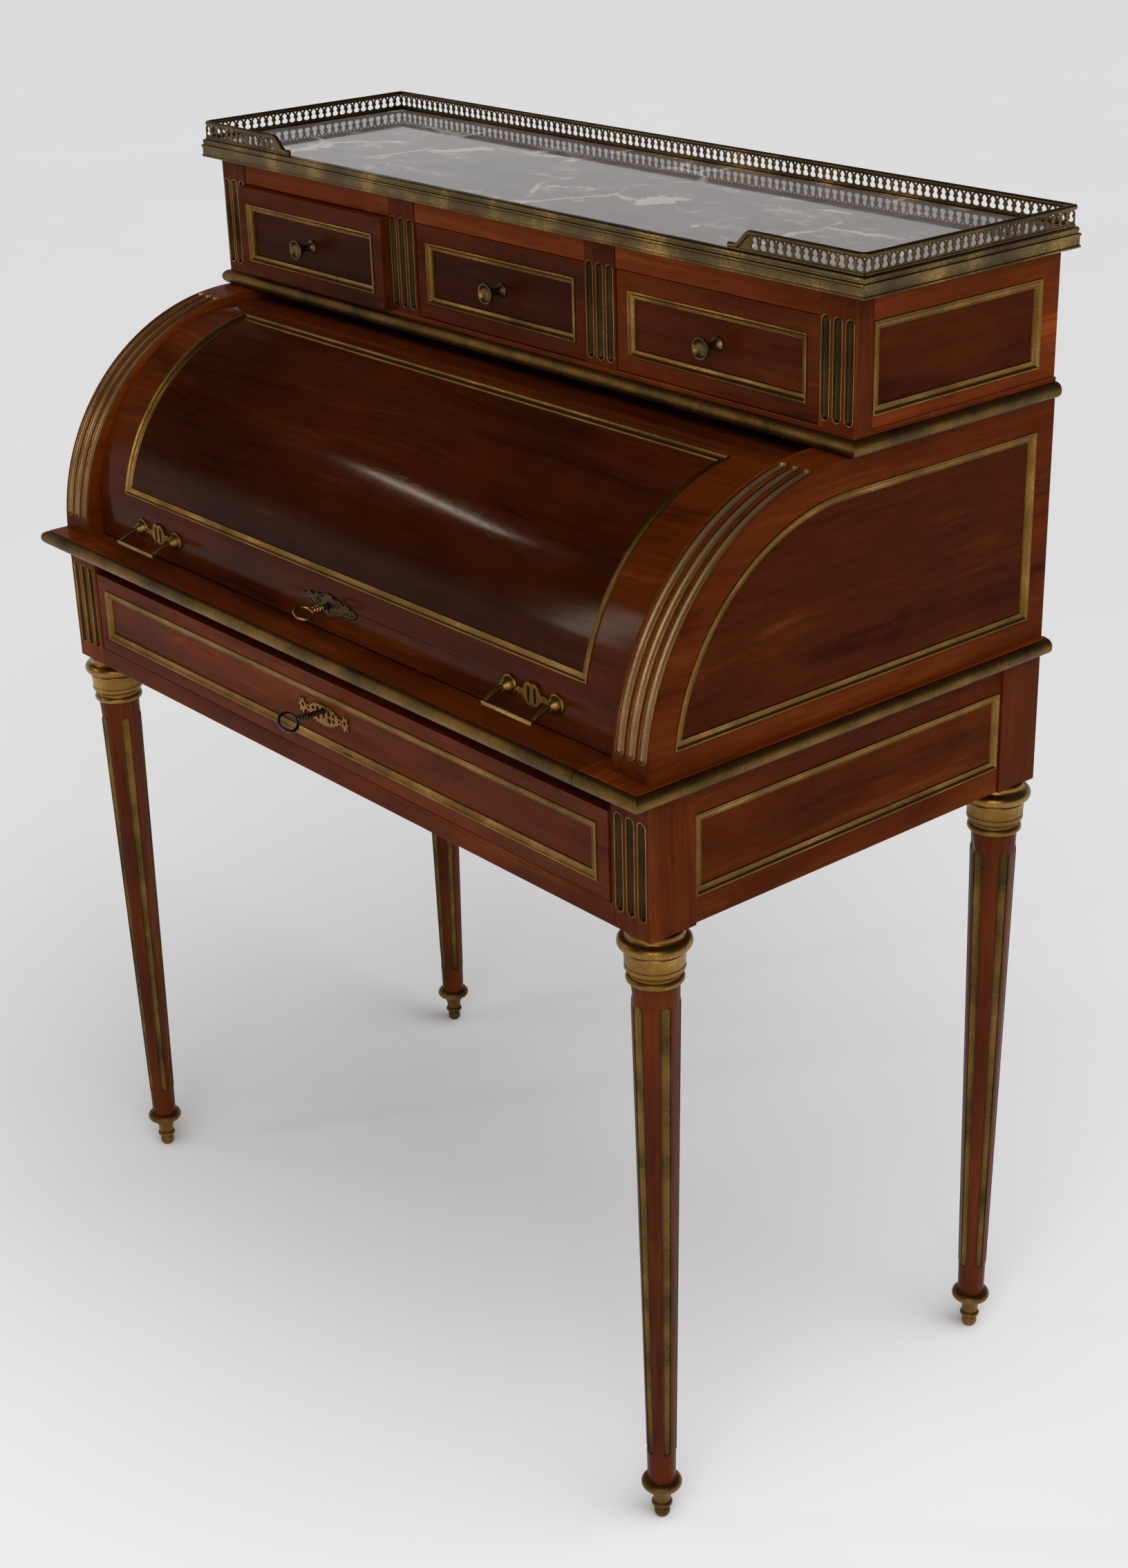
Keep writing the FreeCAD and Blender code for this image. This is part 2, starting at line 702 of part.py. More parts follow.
behind, left = build_gallery()
node(shaped("gallery_back", behind), "gallery_back")
node(pairs("gallery_sides", [shaped("gallery_side", left)]), "gallery_sides")

# Upper case
case_x = ("-Places.case_half", "Places.case_half")
upper_z = ("Places.deck_top", "Places.slab_bottom")
upper_y = ("Places.upper_front", "Sizes.back_plane")
pilaster_y = ("Places.upper_front", "Places.pilaster_back")
behind_pilasters = ("Places.pilaster_back", "Places.inner_back")
node(board("upper_deck", case_x, upper_y, ("Places.deck_bottom", "Places.deck_top")), "upper_deck")
top_board_z = ("Places.slab_bottom - Sizes.top_board_thickness", "Places.slab_bottom")
upper_x = ("-Places.upper_inner", "Places.upper_inner")
node(board("upper_top_board", upper_x, behind_pilasters, top_board_z), "upper_top_board")

pilasters = []
for index, step in enumerate((-1.5, -0.5, 0.5, 1.5)):
    centre = f"{step} * Places.bay_pitch"
    x = (f"{centre} - Sizes.pilaster_width / 2", f"{centre} + Sizes.pilaster_width / 2")
    blank = board(f"pilaster_{index}_blank", x, pilaster_y, upper_z)
    ends = ("Places.upper_front", "Places.deck_top", "Places.slab_bottom")
    pilasters.append(fluted(f"pilaster_{index}", blank, "pilaster", centre, *ends))
node(group("upper_pilasters", pilasters), "upper_pilasters")

rails = []
for step in (-1, 0, 1):
    centre = f"{step} * Places.bay_pitch"
    x = (f"{centre} - Places.bay_width / 2", f"{centre} + Places.bay_width / 2")
    y = ("Places.upper_front + Sizes.upper_rail_setback", "Places.pilaster_back")
    rails.append(board(f"upper_rail_{step + 1}", x, y, ("Places.rail_foot", "Places.slab_bottom")))
node(group("upper_rails", rails), "upper_rails")

partition_x = around("Places.bay_pitch / 2", "Sizes.partition_thickness / 2")
partition = board("partition", partition_x, behind_pilasters, ("Places.deck_top", top_board_z[0]))
node(pairs("upper_partitions", [partition]), "upper_partitions")

upper_field_y = (
    "Places.pilaster_back + Sizes.upper_field_front",
    "Sizes.back_plane - Sizes.upper_field_back",
)
upper_field_z = ("Places.upper_field_foot", "Places.upper_field_foot + Sizes.upper_field_height")
upper_blank = board(
    "upper_side_blank",
    ("Places.upper_inner", "Places.upper_face"),
    ("Places.pilaster_back", "Sizes.back_plane"),
    upper_z,
)
upper_sink = board(
    "upper_side_sink",
    ("Places.upper_face - Sizes.field_recess", "Places.upper_face"),
    upper_field_y,
    upper_field_z,
)
node(pairs("upper_sides", [cut("upper_side", upper_blank, upper_sink)]), "upper_sides")

# Waist moulding and table moulding: half-round strips with mitred corners
half_round = [("0", "-Sizes.moulding_radius"), ("Sizes.moulding_radius", "0"), ("0", "Sizes.moulding_radius")]
half_round_arcs = {edge: ("Sizes.moulding_radius", True) for edge in (0, 1)}
LEFTWARD_PROFILE = FreeCAD.Rotation(V(-1, 0, 0), V(0, 0, 1), V(0, 1, 0), "XYZ")


def half_round_strip(name, corners, z):
    profile = doc.addObject("Sketcher::SketchObject", name + "_profile")
    draw(profile, half_round, half_round_arcs)
    place(profile, corners[0][0], corners[0][1], z, LEFTWARD_PROFILE)
    path = doc.addObject("Sketcher::SketchObject", name + "_path")
    draw(path, corners, closed=False)
    place(path, z=z)
    strip = doc.addObject("Part::Sweep", name)
    strip.Sections = [profile]
    strip.Spine = (path, [f"Edge{number}" for number in range(1, len(corners))])
    strip.Solid = True
    strip.Transition = "Right corner"
    return strip


waist_corners = [
    ("-Places.case_half", "Sizes.back_plane"),
    ("-Places.case_half", "Places.upper_front"),
    ("Places.case_half", "Places.upper_front"),
    ("Places.case_half", "Sizes.back_plane"),
]
waist_z = "Places.deck_bottom + Sizes.moulding_radius"
node(half_round_strip("waist_moulding", waist_corners, waist_z), "waist_moulding")
table_corners = [
    ("-Places.table_half", "Sizes.back_plane"),
    ("-Places.table_half", "Places.table_front"),
    ("-Places.slide_well", "Places.table_front"),
]
table_strip = half_round_strip("table_strip", table_corners, "Places.table_middle")
node(pairs("table_moulding", [table_strip]), "table_moulding")


# Small drawers
def small_drawer(name, step, out):
    centre = f"{step} * Places.bay_pitch"
    face = f"Places.drawer_face - {out}"
    behind = f"{face} + Sizes.drawer_front_thickness"
    field_x = around(centre, "Places.drawer_field_half")
    field_z = ("Places.drawer_field_foot", "Places.drawer_field_foot + Sizes.drawer_field_height")
    floor = f"{face} + Sizes.drawer_field_recess"
    front_z = ("Places.drawer_foot", "Places.drawer_top")
    blank = board(name + "_blank", around(centre, "Places.drawer_half"), (face, behind), front_z)
    sink = board(name + "_sink", field_x, (face, floor), field_z)
    node(cut(name + "_front", blank, sink), name + "_front")
    depth = (f"{face} - Sizes.frame_lip", floor)
    trim = brass_frame(name + "_frame", 0, field_x, depth, field_z, "Sizes.drawer_frame_width")
    node(trim, name + "_frame")

    foot = "Places.deck_top + Sizes.running_gap"
    top = f"{foot} + Sizes.drawer_box_height"
    back = f"Places.inner_back - Sizes.drawer_back_gap - {out}"
    between = around(centre, "(Places.drawer_box_half - Sizes.drawer_box_side)")
    sides = around(centre, "Places.drawer_box_half")
    floor_foot = f"{foot} + Sizes.drawer_bottom_lift"
    floor_top = f"{floor_foot} + Sizes.drawer_bottom_thickness"
    node(group(name + "_box", [
        board(name + "_box_left", (sides[0], between[0]), (behind, back), (foot, top)),
        board(name + "_box_right", (between[1], sides[1]), (behind, back), (foot, top)),
        board(name + "_box_floor", between, (behind, back), (floor_foot, floor_top)),
        board(name + "_box_back", between, (f"{back} - Sizes.drawer_box_side", back), (floor_top, top)),
    ]), name + "_box")

    knob = turned(name + "_knob", [
        ("0", "0"),
        ("Sizes.knob_base_radius", "0"),
        ("Sizes.knob_stem_radius", "Sizes.knob_reach / 3"),
        ("Sizes.knob_stem_radius", "Sizes.knob_reach / 2"),
        ("Sizes.knob_dish_radius", "Sizes.knob_reach - Sizes.knob_rim"),
        ("Sizes.knob_dish_radius", "Sizes.knob_reach"),
        ("0", "Sizes.knob_reach - Sizes.knob_rim"),
    ])
    middle = "Places.drawer_field_foot + Sizes.drawer_field_height / 2"
    node(place(knob, centre, floor, middle, FORWARD), name + "_knob")


small_drawer("drawer_left", -1, "Sizes.left_drawer_open")
small_drawer("drawer_centre", 0, "0")
small_drawer("drawer_right", 1, "0")


# Carcase round the cylinder
def carcase_outline(lift, margin, back):
    radius = f"(Places.carcase_radius - ({margin}))"
    foot = f"Places.table_top + {lift}"
    head = f"Places.carcase_z + {radius}"
    rear = f"Sizes.back_plane - ({back})"
    rise = f"({foot} - Places.carcase_z)"
    start = f"Places.carcase_y - sqrt({radius} * {radius} - {rise} * {rise})"
    return [(start, foot), ("Places.carcase_y", head), (rear, head), (rear, foot)], {0: (radius, False)}


def carcase_field(name, width, x):
    limits = ("Sizes.carcase_field_lift", "Sizes.carcase_field_margin", "Sizes.carcase_field_back")
    return prism(name, *carcase_outline(*[f"{limit} + {width}" for limit in limits]), x)


def edge_flutes():
    """Cutters and strips of the flutes that follow the curved edge of the right side."""
    reach, depth = value("Places.carcase_radius"), value("Sizes.flute_depth")
    start, end = value("Sizes.edge_flute_start"), value("Sizes.edge_flute_end")
    width, liner = value("Sizes.edge_flute_width"), value("Sizes.liner_thickness")
    centre = V(0, value("Places.carcase_y"), value("Places.carcase_z"))
    middle = value("Places.case_half - Sizes.carcase_thickness / 2")
    aim = FreeCAD.Rotation(V(0, -1, 0), V(0, 0, 1), V(-1, 0, 0), "XYZ")

    def trough(inner, outer):
        swept = Part.makeCylinder(outer, width, V(0, 0, -width / 2), V(0, 0, 1), end - start)
        swept = swept.cut(Part.makeCylinder(inner, width, V(0, 0, -width / 2), V(0, 0, 1), 360))
        ends = []
        for angle in (0, end - start):
            along = V(math.cos(math.radians(angle)), math.sin(math.radians(angle)), 0)
            ends.append(Part.makeCylinder(width / 2, outer - inner, along * inner, along))
        swept = swept.fuse(ends).removeSplitter()
        swept.Placement = FreeCAD.Placement(centre, aim * FreeCAD.Rotation(V(0, 0, 1), start))
        return swept

    floor = reach - depth
    cutter, strip = trough(floor, reach + value("Sizes.cut_over")), trough(floor, floor + liner)
    offsets = [middle + step * value("Sizes.edge_flute_pitch") for step in (-1, 0, 1)]
    return [[item.translated(V(x, 0, 0)) for x in offsets] for item in (cutter, strip)]


side_x = ("Places.carcase_inner", "Places.case_half")
field_x = ("Places.case_half - Sizes.field_recess", "Places.case_half")
side_cutters, edge_strips = edge_flutes()
carcase_blank = prism("carcase_blank", *carcase_outline("0", "0", "0"), side_x)
carcase_tools = group("carcase_tools", [
    carcase_field("carcase_sink", "0", field_x),
    shaped("carcase_flutes", Part.makeCompound(side_cutters)),
])
carcase_right = node(cut("carcase_side_right", carcase_blank, carcase_tools), "carcase_side_right")
node(mirrored(carcase_right), "carcase_side_left")

frame_x = (field_x[0], "Places.case_half + Sizes.frame_lip")
carcase_frame = cut(
    "carcase_frame",
    carcase_field("carcase_frame_blank", "0", frame_x),
    carcase_field("carcase_frame_field", "Sizes.frame_width", frame_x),
)
apron_field_y = (
    "Places.front_post_back + Sizes.apron_field_margin",
    "Places.rear_post_front - Sizes.apron_field_margin",
)
apron_field_z = ("Places.apron_field_foot", "Places.apron_field_foot + Sizes.apron_field_height")
upper_depth = ("-Places.upper_face - Sizes.frame_lip", "-Places.upper_face + Sizes.field_recess")
apron_depth = ("-Places.apron_face - Sizes.frame_lip", "-Places.apron_face + Sizes.field_recess")
node(pairs("side_frames", [
    carcase_frame,
    brass_frame("upper_side_frame", 90, upper_field_y, upper_depth, upper_field_z),
    brass_frame("apron_frame", 90, apron_field_y, apron_depth, apron_field_z),
]), "side_frames")

node(group("back_panels", [
    board("upper_back", upper_x, ("Places.inner_back", "Sizes.back_plane"), upper_z),
    board("carcase_back", ("-Places.carcase_inner", "Places.carcase_inner"),
          ("Places.inner_back", "Sizes.back_plane"), ("Places.table_top", "Places.deck_bottom")),
    board("stand_back", ("-Places.post_inner", "Places.post_inner"),
          ("Sizes.back_plane - Sizes.stand_back_thickness", "Sizes.back_plane"),
          ("Places.apron_underside", "Sizes.table_underside")),
]), "back_panels")

# Cylinder: panel with tail, sunk field, brass frame, quadrants and pivots
panel_x = ("-Places.cylinder_half", "Places.cylinder_half")
tail_foot = "Places.table_top + Sizes.cylinder_foot_gap"
inner_face = "Places.cylinder_front + Sizes.cylinder_thickness"
panel_blank = prism("panel_blank", [
    ("Places.cylinder_front", tail_foot),
    ("Places.cylinder_front", "Places.pivot_z"),
    on_cylinder("Sizes.cylinder_radius", "Sizes.cylinder_sweep"),
    on_cylinder("Places.cylinder_inner", "Sizes.cylinder_sweep"),
    (inner_face, "Places.pivot_z"),
    (inner_face, tail_foot),
], {1: ("Sizes.cylinder_radius", False), 3: ("Places.cylinder_inner", True)}, panel_x)
cylinder_field_x = ("-Places.cylinder_field_half", "Places.cylinder_field_half")
cylinder_sunk = "Sizes.cylinder_radius - Sizes.field_recess"
cylinder_span = ("Sizes.cylinder_field_start", "Sizes.cylinder_field_end")
sink_reach = "Sizes.cylinder_radius + Sizes.cut_over"
keyhole = pin("cylinder_keyhole", "Sizes.keyhole_radius", "2 * Sizes.cylinder_thickness", "0",
              "Places.cylinder_front - Sizes.cylinder_thickness / 2", "Places.cylinder_key_z", BACKWARD)
panel_tools = group("panel_tools", [
    sector("panel_sink", cylinder_sunk, sink_reach, *cylinder_span, cylinder_field_x),
    keyhole,
])
node(cut("cylinder_panel", panel_blank, panel_tools), "cylinder_panel")

frame_outer = "Sizes.cylinder_radius + Sizes.frame_lip"
frame_inner = f"{cylinder_sunk} + Sizes.glue_line"


def frame_sector(name, over, turn, width):
    """Ring piece that fills the cylinder's sunk field, less a turn at its ends and a width at its sides."""
    half = f"Places.cylinder_field_half - {width}"
    return sector(name, f"{frame_inner} - {over}", f"{frame_outer} + {over}", f"{cylinder_span[0]} + {turn}",
                  f"{cylinder_span[1]} - {turn}", (f"-({half})", half))


node(cut(
    "cylinder_frame",
    frame_sector("cylinder_frame_blank", "0", "Sizes.frame_end_turn", "0"),
    frame_sector("cylinder_frame_field", "Sizes.cut_over", "Places.frame_turn", "Sizes.frame_width"),
), "cylinder_frame")

pivot_head = "Places.carcase_inner - Sizes.pivot_flange_thickness"
quadrant_outer = f"{pivot_head} - Sizes.pivot_flange_thickness / 2"
quadrant_inner = f"{quadrant_outer} - Sizes.quadrant_thickness"
axis_at = ("Places.pivot_y", "Places.pivot_z", RIGHTWARD)
quadrant = cut(
    "quadrant",
    fuse("quadrant_blank", [
        sector("quadrant_plate", "Sizes.pivot_radius", "Places.cylinder_inner - Sizes.glue_line",
               "Sizes.quadrant_start", "Sizes.quadrant_end", (quadrant_inner, quadrant_outer)),
        pin("quadrant_hub", "Sizes.hub_radius", "Sizes.quadrant_thickness", quadrant_inner, *axis_at),
    ]),
    pin("quadrant_bore", "Sizes.pivot_radius + Sizes.pivot_clearance", "Sizes.quadrant_thickness",
        quadrant_inner, *axis_at),
)
node(pairs("cylinder_quadrants", [quadrant]), "cylinder_quadrants")
node(pairs("cylinder_pivots", [fuse("pivot", [
    pin("pivot_pin", "Sizes.pivot_radius", f"{pivot_head} - ({quadrant_inner})", quadrant_inner, *axis_at),
    pin("pivot_flange", "Sizes.hub_radius", "Sizes.pivot_flange_thickness", pivot_head, *axis_at),
])]), "cylinder_pivots")


# Handles on the cylinder
def cylinder_handle():
    near = "Places.cylinder_front - Sizes.handle_reach"
    arm_start = "Places.cylinder_front - Sizes.handle_boss_reach / 2"
    run = value("Sizes.handle_reach - Sizes.handle_boss_reach / 2")
    drop = value("Sizes.handle_drop")
    lean = FreeCAD.Rotation(V(1, 0, 0), 90 + math.degrees(math.atan2(drop, run)))
    members = []
    for side in (-0.5, 0.5):
        x = f"Places.handle_offset + {side} * Sizes.handle_spacing"
        boss = doc.addObject("Part::Cone", "handle_boss")
        boss.setExpression("Radius1", "Sizes.handle_boss_radius")
        boss.setExpression("Radius2", "Sizes.handle_boss_tip")
        boss.setExpression("Height", "Sizes.handle_boss_reach")
        members.append(place(boss, x, "Places.cylinder_front", "Places.handle_z", FORWARD))
        length = "sqrt(pow(Sizes.handle_reach - Sizes.handle_boss_reach / 2; 2) + pow(Sizes.handle_drop; 2))"
        arm_at = (x, arm_start, "Places.handle_z", lean)
        members.append(pin("handle_arm", "Sizes.handle_arm_radius", length, *arm_at))
    half_bar = "Sizes.handle_bar / 2"
    grip_x = around("Places.handle_offset", f"(Sizes.handle_spacing / 2 + {half_bar})")
    grip_z = around("Places.handle_z - Sizes.handle_drop", half_bar)
    members.append(board("handle_grip", grip_x, around(near, half_bar), grip_z))
    return fuse("handle_bail", members)


def handle_plate():
    depth = ("Places.cylinder_front - Sizes.handle_plate_thickness", "Places.cylinder_front")

    def plate(name, centre, width, height):
        return board(name, around(centre, f"{width} / 2"), depth, around("Places.handle_z", f"{height} / 2"))

    middle = "Places.handle_offset"
    solids = fuse("handle_plates", [
        plate("handle_strap", middle, "Sizes.handle_spacing", "Sizes.handle_strap_height"),
        plate("handle_shield", middle, "Sizes.handle_plate_width", "Sizes.handle_plate_height"),
    ])
    slots = [
        plate("handle_slot", f"{middle} + {side} * Sizes.handle_slot_offset", "Sizes.handle_slot_width",
              "Sizes.handle_slot_height")
        for side in (-1, 1)
    ]
    return cut("handle_plate", solids, group("handle_slots", slots))


node(pairs("cylinder_handles", [fuse("handle", [cylinder_handle(), handle_plate()])]), "cylinder_handles")


# Escutcheons
def scroll_plate(face, z, key_z, lobes, piercings):
    """Flat plate of overlapping round lobes, mirrored to both sides, with a keyhole and round piercings."""
    thick = value("Sizes.escutcheon_thickness")

    def disc(x, height, radius):
        return Part.makeCylinder(radius, thick, V(x, value(face) - thick, value(height)), V(0, 1, 0))

    sides = [disc(side * x, z, radius) for x, radius in lobes for side in (-1, 1) if x or side > 0]
    plate = sides[0].fuse(sides[1:])
    holes = [disc(side * x, z, radius) for x, radius in piercings for side in (-1, 1)]
    return plate.cut(holes + [disc(0, key_z, value("Sizes.keyhole_radius"))]).removeSplitter()


cylinder_lobes = ((0, 12.5), (15, 9), (27, 8), (37, 5))
cylinder_scroll = scroll_plate(
    "Places.cylinder_front",
    "Places.cylinder_key_z",
    "Places.cylinder_key_z",
    cylinder_lobes,
    ((21.5, 1.8),),
)
node(shaped("cylinder_escutcheon", cylinder_scroll), "cylinder_escutcheon")
frieze_floor = "Places.front_plane + Sizes.field_recess"
frieze_lobes = ((0, 11.5), (14, 10), (27, 11), (37, 4.5))
frieze_scroll = scroll_plate(
    frieze_floor,
    "Places.frieze_key_z - Sizes.frieze_escutcheon_drop",
    "Places.frieze_key_z",
    frieze_lobes,
    ((13.5, 4), (27, 5)),
)
node(shaped("frieze_escutcheon", frieze_scroll), "frieze_escutcheon")


# Locks, bolts and keys
def lock_x(play):
    return f"-Sizes.bolt_width / 2 - {play}", f"Sizes.bolt_width / 2 + {play}"


def bolt_y(near, play):
    return f"{near} - {play}", f"{near} + Sizes.bolt_thickness + {play}"


lock_half = ("-Sizes.lock_width / 2", "Sizes.lock_width / 2")
cylinder_lock_foot = "Places.table_top + Sizes.cylinder_lock_lift"
cylinder_lock_head = f"{cylinder_lock_foot} + Sizes.cylinder_lock_height"
lock_blank = doc.addObject("Part::Common", "cylinder_lock_blank")
lock_blank.Base = board("cylinder_lock_case", lock_half, (inner_face, f"{inner_face} + Sizes.lock_depth"),
                        (cylinder_lock_foot, cylinder_lock_head))
lock_blank.Tool = pin("cylinder_lock_round", "Places.cylinder_inner - Sizes.glue_line", "Sizes.lock_width",
                      lock_half[0], *axis_at)
cylinder_bolt_foot = "Places.table_top + Sizes.cylinder_bolt_lift"
cylinder_bolt_head = f"{cylinder_bolt_foot} + Sizes.cylinder_bolt_length"
node(cut("cylinder_lock", lock_blank,
         board("cylinder_lock_well", lock_x("Sizes.bolt_play"), bolt_y("Places.bolt_y", "Sizes.bolt_play"),
               (cylinder_lock_foot, f"{cylinder_bolt_head} + Sizes.bolt_play"))), "cylinder_lock")
cylinder_bolt_z = (cylinder_bolt_foot, cylinder_bolt_head)
node(board("cylinder_bolt", lock_x("0"), bolt_y("Places.bolt_y", "0"), cylinder_bolt_z), "cylinder_bolt")

frieze_lock_head = "Places.frieze_top - Sizes.frieze_lock_drop"
frieze_lock_foot = f"{frieze_lock_head} - Sizes.frieze_lock_height"
frieze_bolt_head = "Places.frieze_top - Sizes.frieze_bolt_drop"
frieze_bolt_foot = f"{frieze_bolt_head} - Sizes.frieze_bolt_length"
node(cut("frieze_lock",
         board("frieze_lock_case", lock_half, ("Places.frieze_back", "Places.frieze_back + Sizes.lock_depth"),
               (frieze_lock_foot, frieze_lock_head)),
         board("frieze_lock_well", lock_x("Sizes.bolt_play"),
               bolt_y("Places.frieze_bolt_y", "Sizes.bolt_play"),
               (f"{frieze_bolt_foot} - Sizes.bolt_play", frieze_lock_head))), "frieze_lock")
frieze_bolt_z = (frieze_bolt_foot, frieze_bolt_head)
node(board("frieze_bolt", lock_x("0"), bolt_y("Places.frieze_bolt_y", "0"), frieze_bolt_z), "frieze_bolt")


def key(name, front, back, z, reach, bow, turn):
    """Key whose stem runs back into the keyhole; the ring bow is turned about the stem."""
    bow_y = f"{front} - {reach}"
    tilt = FreeCAD.Rotation(V(0, 1, 0), value(turn))
    rim, hole = [doc.addObject("Part::Cylinder", f"{name}_{part}") for part in ("rim", "hole")]
    rim.setExpression("Radius", f"{bow} + Sizes.bow_wire / 2")
    hole.setExpression("Radius", f"{bow} - Sizes.bow_wire / 2")
    sink = tilt.multVec(V(0, 0, -value("Sizes.bow_wire") / 2))
    for disc in (rim, hole):
        disc.setExpression("Height", "Sizes.bow_wire")
        place(disc, f"{sink.x}", bow_y, f"{z} + {sink.z}", tilt)
    ring = cut(name + "_bow", rim, hole)
    stem_start = f"{bow_y} + {bow}"
    stem_length = f"{back} - ({stem_start})"
    stem = pin(name + "_stem", "Sizes.key_stem_radius", stem_length, "0", stem_start, z, BACKWARD)
    neck = pin(name + "_neck", "Sizes.key_collar_radius", "Sizes.key_stem_radius", "0",
               f"{stem_start} + Sizes.key_stem_radius", z, BACKWARD)
    return node(fuse(name, [ring, stem, neck]), name)


key("cylinder_key", "Places.cylinder_front", f"{inner_face} - Sizes.key_tip_gap", "Places.cylinder_key_z",
    "Sizes.cylinder_key_reach",
    "Sizes.cylinder_bow_radius", "Sizes.cylinder_bow_turn")
key("frieze_key", "Places.front_plane", "Places.frieze_back - Sizes.key_tip_gap", "Places.frieze_key_z",
    "Sizes.frieze_key_reach",
    "Sizes.frieze_bow_radius", "Sizes.frieze_bow_turn")

# Pigeonholes
nest_x = ("-Places.nest_half", "Places.nest_half")
nest_y = ("Places.nest_front_y", "Places.nest_back_y")
nest_floor = "Places.table_top + Sizes.nest_board"
nest_ceiling = "Places.nest_top - Sizes.nest_board"
nest_base_y = ("Places.nest_front_y", "Places.inner_back")
nest_boards = [
    board("nest_base", nest_x, nest_base_y, ("Places.table_top", nest_floor)),
    board("nest_head", nest_x, nest_y, (nest_ceiling, "Places.nest_top")),
]
nest_uprights = int(value("Sizes.nest_bays")) + 1
for index in range(nest_uprights):
    low = f"-Places.nest_half + {index} * (2 * Places.nest_half - Sizes.nest_board) / Sizes.nest_bays"
    nest_boards.append(board("nest_upright", (low, f"{low} + Sizes.nest_board"),
                             ("Places.nest_front_y", "Places.nest_back_y - Sizes.nest_board"),
                             (nest_floor, nest_ceiling)))
nest_boards.append(board("nest_back", nest_x, ("Places.nest_back_y - Sizes.nest_board", "Places.nest_back_y"),
                         (nest_floor, nest_ceiling)))
node(group("pigeonhole_nest", nest_boards), "pigeonhole_nest")

# Table top, writing slide and its bed
table_z = ("Sizes.table_underside", "Places.table_top")
rear_board_y = ("Sizes.back_plane - Sizes.table_rear_board", "Sizes.back_plane")
table_y = ("Places.table_front", "Sizes.back_plane")
table_end = board("table_end", ("Places.slide_well", "Places.table_half"), table_y, table_z)
node(group("table_top_frame", [
    table_end,
    mirrored(table_end),
    board("table_rear", ("-Places.slide_well", "Places.slide_well"), rear_board_y, table_z),
]), "table_top_frame")

slide_y = ("Places.table_front", "Places.slide_back")
slide_z = ("Sizes.table_underside", "Places.slide_top")
leather_front = "Places.table_front + Sizes.leather_front_gap"
leather_x = ("-Places.leather_half", "Places.leather_half")
leather_y = (leather_front, f"{leather_front} + Sizes.leather_depth")
leather_z = ("Places.slide_top - Sizes.leather_thickness", "Places.slide_top")
mortise_x = lock_x("Sizes.mortise_play")
mortise_foot = f"{cylinder_bolt_foot} - Sizes.cylinder_bolt_throw - Sizes.mortise_end_gap"
mortise = board("slide_mortise", mortise_x, bolt_y("Places.bolt_y", "Sizes.mortise_play"),
                (mortise_foot, "Places.slide_top"))
slide_panel = cut(
    "slide_panel",
    board("slide_blank", ("-Places.cleat_seam", "Places.cleat_seam"), slide_y, slide_z),
    group("slide_tools", [board("leather_sink", leather_x, leather_y, leather_z), mortise]),
)
cleat = board("slide_cleat", ("Places.cleat_seam", "Places.slide_half"), slide_y, slide_z)
node(group("writing_slide", [slide_panel, cleat, mirrored(cleat)]), "writing_slide")
node(board("slide_leather", leather_x, leather_y, leather_z), "slide_leather")
FRONTWARD_PROFILE = FreeCAD.Rotation(V(0, -1, 0), V(0, 0, 1), V(-1, 0, 0), "XYZ")
slide_moulding = doc.addObject("PartDesign::Body", "slide_moulding")
slide_pad = slide_moulding.newObject("PartDesign::Pad", "slide_moulding_pad")
slide_pad.Profile = outline(slide_moulding, "XY_Plane", half_round, half_round_arcs)
slide_pad.setExpression("Length", "2 * Places.slide_half")
slide_moulding.Tip = slide_pad
moulding_end = ("Places.slide_half", "Places.table_front", "Places.table_middle")
node(place(slide_moulding, *moulding_end, FRONTWARD_PROFILE), "slide_moulding")
post_span = ("-Places.post_inner", "Places.post_inner")
node(board("slide_bed", post_span, ("Places.bed_front", "Sizes.back_plane - Sizes.stand_back_thickness"),
           ("Places.bed_top - Sizes.slide_bed_thickness", "Places.bed_top")), "slide_bed")

# Stand: posts, aprons, front rails
post_z = ("Places.apron_underside", "Sizes.table_underside")
post_x = ("Places.post_inner", "Places.case_half")
front_post_y = ("Places.front_plane", "Places.front_post_back")
posts = []
for side in (-1, 1):
    x = post_x if side > 0 else ("-Places.case_half", "-Places.post_inner")
    blank = board(f"front_post_{side + 1}_blank", x, front_post_y, post_z)
    ends = ("Places.front_plane", "Places.apron_underside", "Sizes.table_underside")
    posts.append(fluted(f"front_post_{side + 1}", blank, "post", f"{side} * Places.leg_offset", *ends))
rear_post = board("rear_post", post_x, ("Places.rear_post_front", "Sizes.back_plane"), post_z)
node(group("corner_posts", posts + [rear_post, mirrored(rear_post)]), "corner_posts")

apron_blank = board("apron_blank", ("Places.apron_inner", "Places.apron_face"),
                    ("Places.front_post_back", "Places.rear_post_front"), post_z)
apron_sink = board(
    "apron_sink",
    ("Places.apron_face - Sizes.field_recess", "Places.apron_face"),
    apron_field_y,
    apron_field_z,
)
node(pairs("side_aprons", [cut("apron", apron_blank, apron_sink)]), "side_aprons")

rail_front = "Places.front_plane + Sizes.top_rail_setback"
top_rail = cut(
    "top_rail",
    board("top_rail_blank", post_span, (rail_front, "Places.bed_front"),
          ("Places.top_rail_foot", "Places.bed_top")),
    board("top_rail_mortise", mortise_x, bolt_y("Places.frieze_bolt_y", "Sizes.mortise_play"),
          ("Places.top_rail_foot", f"{frieze_bolt_head} + Sizes.frieze_bolt_throw + Sizes.mortise_end_gap")),
)
bottom_rail = board("bottom_rail", post_span,
                    ("Places.front_plane", "Places.front_plane + Sizes.front_rail_thickness"),
                    ("Places.apron_underside", "Places.apron_underside + Sizes.bottom_rail_height"))
node(group("front_rails", [bottom_rail, top_rail]), "front_rails")

